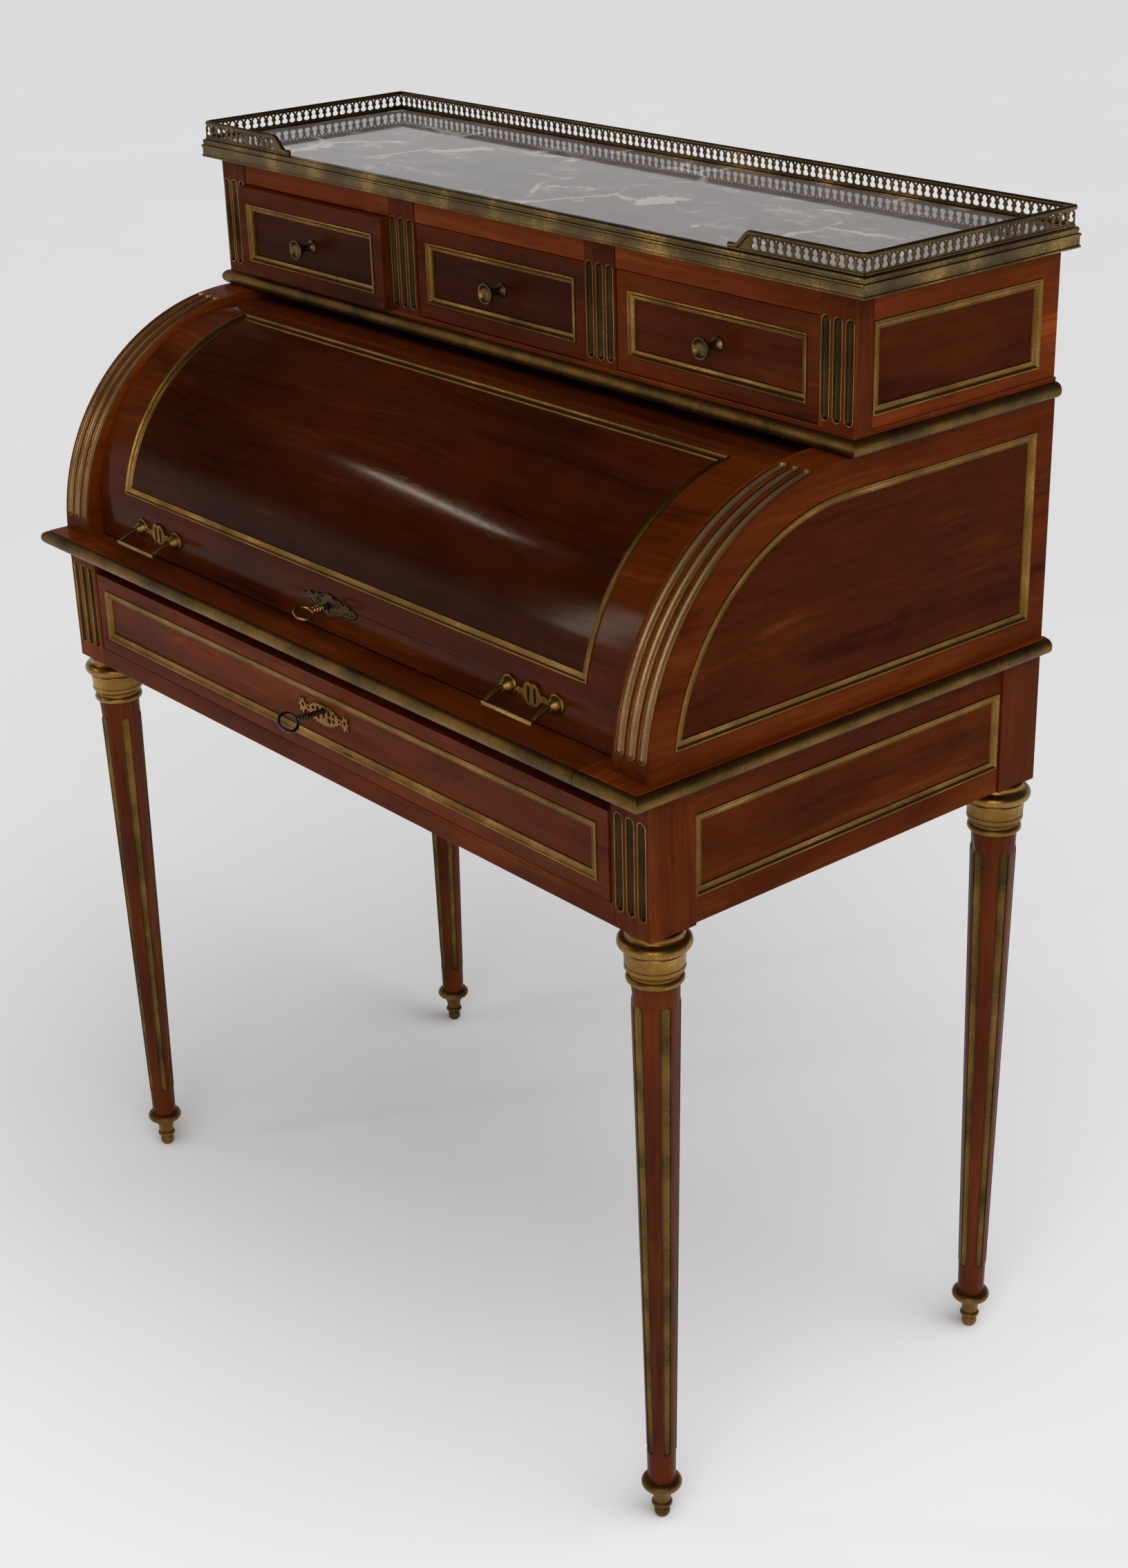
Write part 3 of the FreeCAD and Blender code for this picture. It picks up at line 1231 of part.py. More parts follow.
# Frieze drawer
frieze_x = ("-Places.frieze_half", "Places.frieze_half")
frieze_y = ("Places.front_plane", "Places.frieze_back")
frieze_field_x = ("-Places.frieze_field_half", "Places.frieze_field_half")
frieze_field_z = ("Places.frieze_field_foot", "Places.frieze_field_foot + Sizes.frieze_field_height")
frieze_tools = group("frieze_tools", [
    board("frieze_sink", frieze_field_x, ("Places.front_plane", frieze_floor), frieze_field_z),
    pin("frieze_keyhole", "Sizes.keyhole_radius", "2 * Sizes.frieze_front_thickness", "0",
        "Places.front_plane - Sizes.frieze_front_thickness / 2", "Places.frieze_key_z", BACKWARD),
])
frieze_blank = board("frieze_blank", frieze_x, frieze_y, ("Places.frieze_foot", "Places.frieze_top"))
node(cut("frieze_drawer_front", frieze_blank, frieze_tools), "frieze_drawer_front")
frieze_depth = ("Places.front_plane - Sizes.frame_lip", frieze_floor)
frieze_trim = brass_frame("frieze_drawer_frame", 0, frieze_field_x, frieze_depth, frieze_field_z)
node(frieze_trim, "frieze_drawer_frame")

box_foot = "Places.frieze_foot"
box_top = f"{box_foot} + Sizes.frieze_box_height"
box_back = "Sizes.back_plane - Sizes.stand_back_thickness - Sizes.frieze_box_back_gap"
box_inner = "Places.frieze_box_half - Sizes.frieze_box_side"
box_between = (f"-({box_inner})", box_inner)
box_floor = f"{box_foot} + Sizes.drawer_bottom_lift"
box_floor_top = f"{box_floor} + Sizes.drawer_bottom_thickness"
box_side = board("frieze_box_side", (box_inner, "Places.frieze_box_half"), ("Places.frieze_back", box_back),
                 (box_foot, box_top))
node(group("frieze_drawer_box", [
    box_side,
    mirrored(box_side),
    board("frieze_box_floor", box_between, ("Places.frieze_back", box_back), (box_floor, box_floor_top)),
    board("frieze_box_back", box_between, (f"{box_back} - Sizes.frieze_box_side", box_back),
          (box_floor_top, box_top)),
]), "frieze_drawer_box")

# Drawer runners and guides
runner_top = f"{box_foot} - Sizes.running_gap"
runner_y = (
    "Places.front_plane + Sizes.front_rail_thickness",
    "Sizes.back_plane - Sizes.stand_back_thickness",
)
guide_z = ("Places.deck_top", "Places.deck_top + Sizes.guide_height")
drawer_edge = "Places.drawer_box_half + Sizes.guide_gap"
node(pairs("drawer_runners", [
    board("frieze_runner", ("Places.post_inner - Sizes.runner_width", "Places.post_inner"), runner_y,
          (f"{runner_top} - Sizes.runner_height", runner_top)),
    board("frieze_guide", ("Places.frieze_box_half + Sizes.guide_gap", "Places.post_inner"), runner_y,
          (runner_top, f"{runner_top} + Sizes.guide_height")),
    board("centre_guide", (drawer_edge, partition_x[0]), behind_pilasters, guide_z),
    board("inner_guide", (partition_x[1], f"Places.bay_pitch - ({drawer_edge})"), behind_pilasters, guide_z),
    board("outer_guide", (f"Places.bay_pitch + {drawer_edge}", "Places.upper_inner"), behind_pilasters,
          guide_z),
]), "drawer_runners")

# Legs with flutes, collars and feet
leg_spots = [(side, depth) for side in (-1, 1) for depth in ("front_leg", "rear_leg")]


def leg_flutes():
    """Cutters and strips of the flutes round one leg that stands on the upright axis."""
    low_radius, high_radius = value("Sizes.leg_bottom_radius"), value("Sizes.leg_top_radius")
    foot, head = value("Sizes.sabot_height"), value("Places.leg_top")
    low = foot + value("Sizes.leg_flute_foot_gap")
    high = head - value("Sizes.leg_flute_head_gap")
    taper = (high_radius - low_radius) / (head - foot)
    lean = FreeCAD.Rotation(V(1, 0, 0), math.degrees(math.atan(taper)))
    start = V(0, -low_radius - taper * (low - foot), low)
    widths = (value("Sizes.leg_flute_bottom_width"), value("Sizes.leg_flute_top_width"))
    depth = value("Sizes.leg_flute_depth")
    cutter = slot(*widths, high - low, -2 * value("Sizes.cut_over"), depth)
    strip = slot(*widths, high - low, depth - value("Sizes.liner_thickness"), depth)
    count = int(value("Sizes.leg_flute_count"))
    sets = []
    for item in (cutter, strip):
        item.Placement = FreeCAD.Placement(start, lean)
        sets.append([item.rotated(V(0, 0, 0), V(0, 0, 1), 360 / count * step) for step in range(count)])
    return sets


leg_cutters, leg_strips = leg_flutes()
legs, collars, sabots, strips = [], [], [], []
ring_foot = "Sizes.collar_height - Sizes.collar_neck_height - 2 * Sizes.collar_ring_radius"
band_head = f"{ring_foot} - Sizes.collar_ring_radius / 2"
band_base = f"{band_head} - Sizes.collar_band_height"
collar_points = [
    ("0", "0"),
    *bead("Sizes.collar_bead_core", "0", "Sizes.collar_bead_radius"),
    ("Sizes.collar_band_radius - Sizes.collar_band_step", band_base),
    ("Sizes.collar_band_radius", band_base),
    ("Sizes.collar_band_radius", band_head),
    *bead("Sizes.collar_neck_radius", ring_foot, "Sizes.collar_ring_radius"),
    ("Sizes.collar_throat_radius", "Sizes.collar_height - Sizes.collar_neck_height"),
    ("Sizes.collar_throat_radius", "Sizes.collar_height"),
    ("0", "Sizes.collar_height"),
]
ball_flat = "sqrt(pow(Sizes.foot_ball_radius; 2) - pow(Sizes.foot_flat_radius; 2))"
ball_rise = f"2 * {ball_flat}"
sleeve_foot = "Sizes.sabot_height - Sizes.sabot_sleeve_height"
sabot_points = [
    ("0", "0"),
    ("Sizes.foot_flat_radius", "0"),
    ("Sizes.foot_ball_radius", f"{ball_flat} - Sizes.foot_ball_radius / 4"),
    ("Sizes.foot_ball_radius", f"{ball_flat} + Sizes.foot_ball_radius / 4"),
    ("Sizes.foot_flat_radius", ball_rise),
    *bead("Sizes.sabot_cup_radius", ball_rise, "Sizes.sabot_bead_radius"),
    *bead("Sizes.sabot_ring_core", f"{sleeve_foot} - 2 * Sizes.sabot_ring_radius", "Sizes.sabot_ring_radius"),
    ("Sizes.sabot_sleeve_radius", sleeve_foot),
    ("Sizes.sabot_sleeve_radius", "Sizes.sabot_height"),
    ("0", "Sizes.sabot_height"),
]
for side, depth in leg_spots:
    spot = (f"{side} * Places.leg_offset", f"Places.{depth}")
    at = V(value(spot[0]), value(spot[1]), 0)
    shaft = doc.addObject("Part::Cone", "leg_shaft")
    shaft.setExpression("Radius1", "Sizes.leg_bottom_radius")
    shaft.setExpression("Radius2", "Sizes.leg_top_radius")
    shaft.setExpression("Height", "Places.leg_top - Sizes.sabot_height")
    place(shaft, *spot, "Sizes.sabot_height")
    tools = Part.makeCompound([item.translated(at) for item in leg_cutters])
    legs.append(cut("leg", shaft, shaped("leg_cutters", tools)))
    strips += [item.translated(at) for item in leg_strips]
    collars.append(place(turned("collar", collar_points), *spot, "Places.leg_top"))
    sabots.append(place(turned("sabot", sabot_points), *spot))
node(group("legs", legs), "legs")
node(shaped("leg_flute_liners", Part.makeCompound(strips)), "leg_flute_liners")
node(group("leg_collars", collars), "leg_collars")
node(group("leg_sabots", sabots), "leg_sabots")

edge_twins = [item.mirror(V(0, 0, 0), V(1, 0, 0)) for item in edge_strips]
node(shaped("flute_liners", Part.makeCompound(straight_strips + edge_strips + edge_twins)), "flute_liners")

doc.recompute()


def write_parts():
    for item in doc.Objects:
        if "Invalid" in item.State or "Error" in item.State:
            raise RuntimeError(f"{item.Label} does not compute: {item.State}")
    os.makedirs("parts", exist_ok=True)
    for item in nodes:
        if item.Shape.isNull() or not item.Shape.isValid() or not item.Shape.Solids:
            raise RuntimeError(f"{item.Label} has no valid solid")
        item.Shape.exportStep(os.path.join("parts", item.Label + ".step"))


write_parts()
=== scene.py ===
"""Looks of a cylinder desk: polished mahogany, aged brass, marble, and the studio round it."""

import json
import math
from functools import cache

import bmesh
import bpy
from bpy.props import FloatProperty, FloatVectorProperty, IntProperty, PointerProperty
from mathutils import Matrix, Vector

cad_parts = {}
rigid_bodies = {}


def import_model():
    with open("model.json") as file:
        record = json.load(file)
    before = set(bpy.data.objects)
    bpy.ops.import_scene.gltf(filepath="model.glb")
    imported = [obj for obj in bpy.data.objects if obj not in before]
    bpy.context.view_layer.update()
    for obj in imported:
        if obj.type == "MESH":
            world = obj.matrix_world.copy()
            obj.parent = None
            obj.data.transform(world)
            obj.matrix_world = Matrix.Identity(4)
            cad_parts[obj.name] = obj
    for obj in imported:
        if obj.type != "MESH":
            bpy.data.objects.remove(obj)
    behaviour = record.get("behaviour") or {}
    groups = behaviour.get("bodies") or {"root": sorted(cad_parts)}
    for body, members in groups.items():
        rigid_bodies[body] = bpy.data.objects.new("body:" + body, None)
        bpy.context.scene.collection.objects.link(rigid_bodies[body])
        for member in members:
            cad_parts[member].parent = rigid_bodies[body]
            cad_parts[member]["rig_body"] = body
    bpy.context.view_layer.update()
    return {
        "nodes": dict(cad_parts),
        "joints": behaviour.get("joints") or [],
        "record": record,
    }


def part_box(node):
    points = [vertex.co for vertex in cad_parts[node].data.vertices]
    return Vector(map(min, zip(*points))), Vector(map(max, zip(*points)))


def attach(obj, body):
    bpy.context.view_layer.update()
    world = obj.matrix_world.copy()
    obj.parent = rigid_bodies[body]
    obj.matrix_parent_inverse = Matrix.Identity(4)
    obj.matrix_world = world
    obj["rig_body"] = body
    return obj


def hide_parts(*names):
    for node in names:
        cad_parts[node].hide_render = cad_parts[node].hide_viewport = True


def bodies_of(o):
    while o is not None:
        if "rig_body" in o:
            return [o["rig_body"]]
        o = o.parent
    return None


bl_info = {
    "name": "Cylinder desk",
    "version": (1, 0, 0),
    "blender": (4, 5, 0),
    "location": "View3D > Sidebar > Desk",
    "description": "Dresses the packed frame of a cylinder desk with wood, brass and marble",
    "category": "Object",
}

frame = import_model()
MM = 0.001


def colour_property(label, description, default):
    return FloatVectorProperty(name=label, description=description, default=default,
                               subtype="COLOR", size=3, min=0, max=1)


def length_property(label, description, default):
    """Length held in metres and given here in millimetres."""
    return FloatProperty(name=label, description=description, default=default * MM,
                         subtype="DISTANCE", unit="LENGTH", min=0)


def angle_property(label, description, default):
    return FloatProperty(name=label, description=description, default=math.radians(default),
                         subtype="ANGLE")


class DeskWood(bpy.types.PropertyGroup):
    """Tones of the mahogany and of the plain inner wood"""

    dark: colour_property("Dark grain", "Darkest streaks of the mahogany", (0.042, 0.0072, 0.0012))
    middle: colour_property("Ground", "Ground tone of the mahogany", (0.09, 0.0165, 0.0024))
    light: colour_property("Light grain", "Lightest streaks of the mahogany", (0.19, 0.043, 0.006))
    inner_dark: colour_property("Inner dark", "Its dark streaks", (0.15, 0.07, 0.027))
    inner_middle: colour_property("Inner ground", "Plain drawer wood", (0.205, 0.102, 0.042))
    inner_light: colour_property("Inner light", "Its light streaks", (0.27, 0.145, 0.064))
    edge: length_property("Edge", "Width of the rounding on the worn edges", 0.7)


class DeskBrass(bpy.types.PropertyGroup):
    """Tones of the aged brass"""

    bright: colour_property("Rubbed", "Brass where hands have rubbed it", (0.5, 0.31, 0.09))
    ground: colour_property("Ground", "Ground tone of the aged brass", (0.125, 0.082, 0.033))
    golden: colour_property("Golden", "Ground tone of the frames and collars", (0.24, 0.125, 0.028))
    tarnish: colour_property("Tarnish", "Dark tarnish in the hollows", (0.05, 0.032, 0.013))
    # Painted light: a brighter brown tone for the curved flutes' troughs, standing in for the lamp
    # light they catch
    painted_flute_light: colour_property("Flute light", "Painted light on the curved flutes", (0.3, 0.165, 0.08))
    # Painted shade: a near-black tone that darkens the straight flutes' troughs, standing in for
    # the shade inside them
    painted_flute_shade: colour_property("Flute shade", "Painted shade in the straight flutes", (0.016, 0.009, 0.003))


class DeskMarble(bpy.types.PropertyGroup):
    """Tones of the marble slab"""

    ground: colour_property("Ground", "Mauve-grey ground of the marble", (0.13, 0.11, 0.106))
    cloud: colour_property("Cloud", "Paler clouds in the marble", (0.155, 0.132, 0.127))
    vein: colour_property("Vein", "Cream patches of the marble", (0.42, 0.39, 0.345))
    crack: colour_property("Crack", "Dark cracks of the marble", (0.045, 0.038, 0.038))
    edge: length_property("Edge", "Rounding of the slab's edges", 0.6)


class DeskFlutes(bpy.types.PropertyGroup):
    """Sizes of the brass-lined flutes"""

    depth: length_property("Depth", "Depth of a flute", 3.5)
    lip: length_property("Lip", "Width of the brass rim beyond the flute", 0.9)
    rise: length_property("Rise", "Height of the brass rim over the wood", 0.45)
    edge_radius: length_property("Edge radius", "Radius of the carcase's curved edge", 220)
    edge_start: angle_property("Edge start", "Lower end of the flutes on the curved edge", 6)
    edge_end: angle_property("Edge end", "Upper end of the flutes on the curved edge", 79)
    leg_count: IntProperty(name="Leg flutes", description="Flutes round a leg", default=5, min=3)
    leg_depth: length_property("Leg depth", "Depth of a leg's flute", 2.6)
    leg_foot_gap: length_property("Leg foot gap", "Plain wood under a leg's flutes", 23)
    leg_head_gap: length_property("Leg head gap", "Plain wood over a leg's flutes", 18)
    leg_foot_radius: length_property("Leg foot radius", "Radius of a leg at its foot", 13)
    leg_foot_width: length_property("Leg flute foot", "Width of a leg's flute at its foot", 6)
    leg_head_width: length_property("Leg flute head", "Width of a leg's flute at its head", 9)


class DeskFrames(bpy.types.PropertyGroup):
    """Sizes of the brass frame mouldings"""

    lip: length_property("Lip", "Height of a frame over the wood", 1.2)
    width: length_property("Width", "Width of a frame on the case", 8)
    recess: length_property("Recess", "Depth of the case's sunk fields", 2.5)
    drawer_width: length_property("Drawer width", "Width of a frame on a small drawer", 7)
    drawer_recess: length_property("Drawer recess", "Depth of a small drawer's sunk field", 4)
    cylinder_radius: length_property("Cylinder radius", "Radius of the cylinder's face", 188.5)
    cylinder_start: angle_property("Cylinder start", "Lower edge of the cylinder's frame", 10)
    cylinder_end: angle_property("Cylinder end", "Upper edge of the cylinder's frame", 82)


class DeskGallery(bpy.types.PropertyGroup):
    """Sizes of the pierced gallery"""

    pitch: length_property("Pitch", "Distance from one opening to the next", 9.2)
    plate: length_property("Plate", "Thickness of the pierced plate", 1.0)
    rail: length_property("Rail", "Radius of the round rail", 2.4)
    reach: length_property("Return", "Length of a front return", 150)
    sweep_start: length_property("Sweep start", "Start of the return's downward sweep", 124)
    sweep_run: length_property("Sweep run", "Length of the downward sweep", 18)
    foot: length_property("Foot", "Height of the return's low end", 3)


class DeskStage(bpy.types.PropertyGroup):
    """Studio round the desk"""

    camera_place: FloatVectorProperty(name="Camera", description="Place of the camera",
                                      subtype="TRANSLATION", unit="LENGTH",
                                      default=(1.7422, -1.3732, 1.5375))
    camera_azimuth: angle_property("Azimuth", "Turn of the camera round the desk", 50.355)
    camera_elevation: angle_property("Elevation", "Height angle of the camera", 24.36)
    camera_roll: angle_property("Roll", "Roll of the camera", -1.682)
    lens: FloatProperty(name="Lens", description="Focal length, 36 mm long side", default=56.3)
    floor: colour_property("Floor", "Colour of the floor", (0.84, 0.84, 0.855))
    horizon: colour_property("Horizon", "Colour of the room near the horizon", (0.1, 0.1, 0.102))
    ceiling: colour_property("Ceiling", "Colour of the room overhead", (0.045, 0.045, 0.047))
    backdrop: colour_property("Backdrop", "Pale backdrop behind the desk", (0.54, 0.54, 0.55))
    wall: colour_property("Wall", "Far wall, in the floor's tone", (0.74, 0.74, 0.75))


# Shader building


def add(tree, kind, settings=None, values=(), **inputs):
    """New node; inputs are numbers or sockets, by name or, through values, in order."""
    made = tree.nodes.new(kind)
    for key, setting in (settings or {}).items():
        setattr(made, key, setting)
    named = [(made.inputs[key.replace("_", " ")], value) for key, value in inputs.items()]
    for socket, value in [*zip(made.inputs, values), *named]:
        if isinstance(value, bpy.types.NodeSocket):
            tree.links.new(value, socket)
        else:
            socket.default_value = value
    return made


def arithmetic(tree, operation, *values):
    return add(tree, "ShaderNodeMath", {"operation": operation}, values).outputs[0]


def mixed(tree, factor, first, second, blend="MIX"):
    """Mix of two colours, each a socket or three numbers."""
    made = add(tree, "ShaderNodeMix", {"data_type": "RGBA", "blend_type": blend})
    for index, value in ((0, factor), (6, first), (7, second)):
        if isinstance(value, bpy.types.NodeSocket):
            tree.links.new(value, made.inputs[index])
        else:
            made.inputs[index].default_value = value if index == 0 else (*value[:3], 1)
    return made.outputs[2]


def spread(tree, value, low, high, low_out=0, high_out=1):
    """Value remapped smoothly from one range to another."""
    return add(tree, "ShaderNodeMapRange", {"interpolation_type": "SMOOTHSTEP"},
               (value, low, high, low_out, high_out)).outputs[0]


def noise(tree, vector, scale, detail=3, roughness=0.55):
    return add(tree, "ShaderNodeTexNoise",
               Vector=vector, Scale=scale, Detail=detail, Roughness=roughness).outputs[0]


def stretched(tree, vector, along):
    """Coordinates squeezed along the grain, so that spots become streaks."""
    return add(tree, "ShaderNodeVectorMath", {"operation": "MULTIPLY"},
               (vector, (along, 1, 1))).outputs[0]


def cell_edges(tree, vector, scale):
    """Distance to the nearest border in a pattern of cells."""
    return add(tree, "ShaderNodeTexVoronoi", {"feature": "DISTANCE_TO_EDGE"},
               Vector=vector, Scale=scale).outputs[0]


def node_group(name, inputs, outputs):
    tree = bpy.data.node_groups.new(name, "ShaderNodeTree")
    for direction, sockets in (("INPUT", inputs), ("OUTPUT", outputs)):
        for label, kind in sockets:
            tree.interface.new_socket(label, in_out=direction, socket_type="NodeSocket" + kind)
    return tree, tree.nodes.new("NodeGroupInput").outputs, tree.nodes.new("NodeGroupOutput").inputs


SURFACE = (("Color", "Color"), ("Roughness", "Float"), ("Height", "Float"))


@cache
def grain_group():
    """Wood whose grain runs along local X: soft ribbons, fine streaks and short dark pores."""
    tree, given, result = node_group(
        "Wood grain",
        (("Vector", "Vector"), ("Dark", "Color"), ("Middle", "Color"), ("Light", "Color"),
         ("Shade", "Float"), ("Polish", "Float")),
        SURFACE,
    )
    bend = arithmetic(tree, "MULTIPLY", noise(tree, given["Vector"], 3.5, 2), 0.05)
    shift = add(tree, "ShaderNodeCombineXYZ", values=(0, bend, 0)).outputs[0]
    bent = add(tree, "ShaderNodeVectorMath", {"operation": "ADD"},
               (given["Vector"], shift)).outputs[0]
    ribbon = noise(tree, stretched(tree, bent, 0.12), 26, 3)
    streak = noise(tree, stretched(tree, bent, 0.04), 190, 4, 0.6)
    pore = noise(tree, stretched(tree, bent, 0.06), 900, 2, 0.5)
    cloud = noise(tree, given["Vector"], 6, 3)
    fine = arithmetic(tree, "MULTIPLY", streak, 0.38)
    tone = arithmetic(tree, "MULTIPLY_ADD", ribbon, 0.62, fine)
    low = mixed(tree, spread(tree, tone, 0.3, 0.5), given["Dark"], given["Middle"])
    full = mixed(tree, spread(tree, tone, 0.49, 0.78), low, given["Light"])
    pores = spread(tree, pore, 0.58, 0.7)
    darkened = mixed(tree, arithmetic(tree, "MULTIPLY", pores, 0.35), full, given["Dark"])
    patches = spread(tree, cloud, 0.3, 0.7, 0.78, 1.22)
    shade = arithmetic(tree, "MULTIPLY", patches, given["Shade"])
    grey = add(tree, "ShaderNodeCombineColor", values=(shade, shade, shade)).outputs[0]
    tree.links.new(mixed(tree, 1.0, darkened, grey, "MULTIPLY"), result["Color"])
    dull = arithmetic(tree, "MULTIPLY", spread(tree, cloud, 0.3, 0.7, 0.85, 1.2), given["Polish"])
    tree.links.new(dull, result["Roughness"])
    tree.links.new(arithmetic(tree, "MULTIPLY", pores, -0.6), result["Height"])
    return tree


@cache
def tarnish_group():
    """Aged metal: rubbed, ground and tarnished patches with fine pitting."""
    tree, given, result = node_group(
        "Tarnish",
        (("Vector", "Vector"), ("Bright", "Color"), ("Ground", "Color"), ("Dark", "Color"),
         ("Age", "Float")),
        SURFACE,
    )
    patch = noise(tree, given["Vector"], 20, 3, 0.5)
    speck = noise(tree, given["Vector"], 700, 3, 0.6)
    fine = arithmetic(tree, "MULTIPLY", speck, 0.4)
    mask = arithmetic(tree, "MULTIPLY_ADD", patch, 0.6, fine)
    aged = arithmetic(tree, "ADD", mask, arithmetic(tree, "SUBTRACT", given["Age"], 0.5))
    worn = mixed(tree, spread(tree, aged, 0.3, 0.56), given["Bright"], given["Ground"])
    full = mixed(tree, spread(tree, aged, 0.52, 0.86), worn, given["Dark"])
    tree.links.new(full, result["Color"])
    tree.links.new(spread(tree, aged, 0.35, 0.7, 0.26, 0.5), result["Roughness"])
    tree.links.new(speck, result["Height"])
    return tree


GRAIN_TURNS = {"X": (0, 0, 0), "Y": (0, 0, math.radians(-90)), "Z": (0, math.radians(90), 0)}


def new_material(name):
    material = bpy.data.materials.new(name)
    material.use_nodes = True
    tree = material.node_tree
    return material, tree, tree.nodes["Principled BSDF"]


def own_coordinates(tree, turn=(0, 0, 0), offset=0.0):
    """Coordinates of the piece itself, turned and moved to a place in the pattern."""
    where = add(tree, "ShaderNodeTexCoord").outputs["Object"]
    return add(tree, "ShaderNodeMapping", Vector=where, Rotation=turn,
               Location=(offset, 0.37 * offset, 0.61 * offset)).outputs[0]


def raise_surface(tree, shader, height, strength, distance):
    lift = add(tree, "ShaderNodeBump", Strength=strength, Distance=distance, Height=height)
    tree.links.new(lift.outputs[0], shader.inputs["Normal"])


def finish_surface(tree, shader, group, bump):
    """Feeds a surface group's colour, roughness and height to the shader."""
    tree.links.new(group.outputs["Color"], shader.inputs["Base Color"])
    tree.links.new(group.outputs["Roughness"], shader.inputs["Roughness"])
    raise_surface(tree, shader, group.outputs["Height"], strength=bump, distance=0.0004)


def grained(name, grain, offset, tones, shade, polish, bump):
    """Wood of a dark, a middle and a light tone, whose grain runs along the given axis."""
    material, tree, shader = new_material(f"{name}_{grain}_{len(bpy.data.materials)}")
    dark, middle, light = [(*tone, 1) for tone in tones]
    group = add(tree, "ShaderNodeGroup", {"node_tree": grain_group()},
                Vector=own_coordinates(tree, GRAIN_TURNS[grain], offset),
                Dark=dark, Middle=middle, Light=light, Shade=shade, Polish=polish)
    finish_surface(tree, shader, group, bump)
    return material, shader


@cache
def wood(grain, offset, shade, gloss=0.05, polish=0.3):
    """Polished mahogany; the offset is its place in the figure."""
    tones = bpy.context.scene.desk_wood
    streaks = tones.dark, tones.middle, tones.light
    material, shader = grained("mahogany", grain, offset, streaks, shade, polish, bump=0.05)
    shader.inputs["Specular IOR Level"].default_value = gloss
    return material


def leg_wood():
    return wood("Z", 5.9, 0.9, gloss=0.07)


@cache
def inner_wood(grain):
    """Plain unpolished wood of boxes, boards and runners."""
    tones = bpy.context.scene.desk_wood
    streaks = tones.inner_dark, tones.inner_middle, tones.inner_light
    return grained("drawer_wood", grain, 0.0, streaks, shade=1.0, polish=0.6, bump=0.25)[0]


def metal(name, tones, age, metallic, bump):
    """Aged metal of three tones; age runs from rubbed bright at 0.3 to dark at 0.7."""
    material, tree, shader = new_material(name)
    bright, ground, dark = [(*tone, 1) for tone in tones]
    group = add(tree, "ShaderNodeGroup", {"node_tree": tarnish_group()},
                Vector=own_coordinates(tree), Bright=bright, Ground=ground, Dark=dark, Age=age)
    finish_surface(tree, shader, group, bump)
    shader.inputs["Metallic"].default_value = metallic
    return material


AGED, GOLDEN = ("bright", "ground", "tarnish"), ("bright", "golden", "tarnish")
# Tones, age and share of metal of each brass
BRASSES = {
    "aged_brass": (AGED, 0.55, 1.0),
    "gallery_brass": (AGED, 0.6, 1.0),
    "cast_bronze": (AGED, 0.68, 1.0),
    "leg_rim_brass": (AGED, 0.75, 1.0),
    "rubbed_brass": (GOLDEN, 0.46, 1.0),
    "golden_brass": (GOLDEN, 0.52, 1.0),
    "frame_brass": (GOLDEN, 0.57, 1.0),
    "foot_brass": (GOLDEN, 0.62, 1.0),
    "leg_flute_brass": (GOLDEN, 0.68, 1.0),
    "moulding_brass": (GOLDEN, 0.68, 1.0),
    # Straight flute troughs: tarnish in the hollows, darkened further with painted shade by the
    # near-black flute tone
    "flute_brass": (("ground", "tarnish", "painted_flute_shade"), 0.62, 1.0),
    # Curved flute troughs: a lighter, partly diffuse copy of the flute brass that holds painted
    # light
    "lit_flute_brass": (("bright", "painted_flute_light", "tarnish"), 0.6, 0.84),
}
IRON_TONES = (0.2, 0.185, 0.165), (0.075, 0.068, 0.06), (0.03, 0.024, 0.02)
LEATHER_TONES = (0.016, 0.035, 0.018), (0.034, 0.062, 0.03)


@cache
def brass(name):
    tones, age, metallic = BRASSES[name]
    colours = [getattr(bpy.context.scene.desk_brass, tone) for tone in tones]
    return metal(name, colours, age, metallic, bump=0.12)


@cache
def iron():
    return metal("worn_iron", IRON_TONES, age=0.5, metallic=1.0, bump=0.25)


def vein_line(tree, pushed, place, scale, width, gate):
    """Thin broken lines between the cells of a crackled pattern."""
    line = spread(tree, cell_edges(tree, pushed, scale), width * scale / 9, 0.0)
    broken = spread(tree, noise(tree, place, scale, 3), gate, gate + 0.08)
    return arithmetic(tree, "MULTIPLY", line, broken)


@cache
def marble():
    """Mauve-grey marble with cream patches, fine streaks and dark cracks."""
    tones = bpy.context.scene.desk_marble
    material, tree, shader = new_material("veined_marble")
    place = own_coordinates(tree)
    drift = add(tree, "ShaderNodeTexNoise",
                Vector=place, Scale=14.0, Detail=6.0, Roughness=0.65).outputs["Color"]
    pushed = add(tree, "ShaderNodeVectorMath", {"operation": "MULTIPLY_ADD"},
                 (drift, (0.05, 0.05, 0.05), place)).outputs[0]
    cloud = noise(tree, pushed, 24, 7, 0.65)
    ground = mixed(tree, spread(tree, cloud, 0.4, 0.6), tones.ground, tones.cloud)
    streaks = noise(tree, stretched(tree, pushed, 0.4), 42, 6, 0.62)
    smudge = spread(tree, streaks, 0.54, 0.7, 0, 0.5)
    smudged = mixed(tree, smudge, ground, tones.vein)
    patch = spread(tree, noise(tree, pushed, 12, 8, 0.55), 0.62, 0.65)
    patched = mixed(tree, arithmetic(tree, "MULTIPLY", patch, 0.9), smudged, tones.vein)
    veined = mixed(tree, vein_line(tree, pushed, place, 8, 0.04, 0.5), patched, tones.vein)
    full = mixed(tree, vein_line(tree, pushed, place, 6, 0.009, 0.54), veined, tones.crack)
    tree.links.new(full, shader.inputs["Base Color"])
    tree.links.new(spread(tree, cloud, 0.3, 0.7, 0.03, 0.07), shader.inputs["Roughness"])
    return material


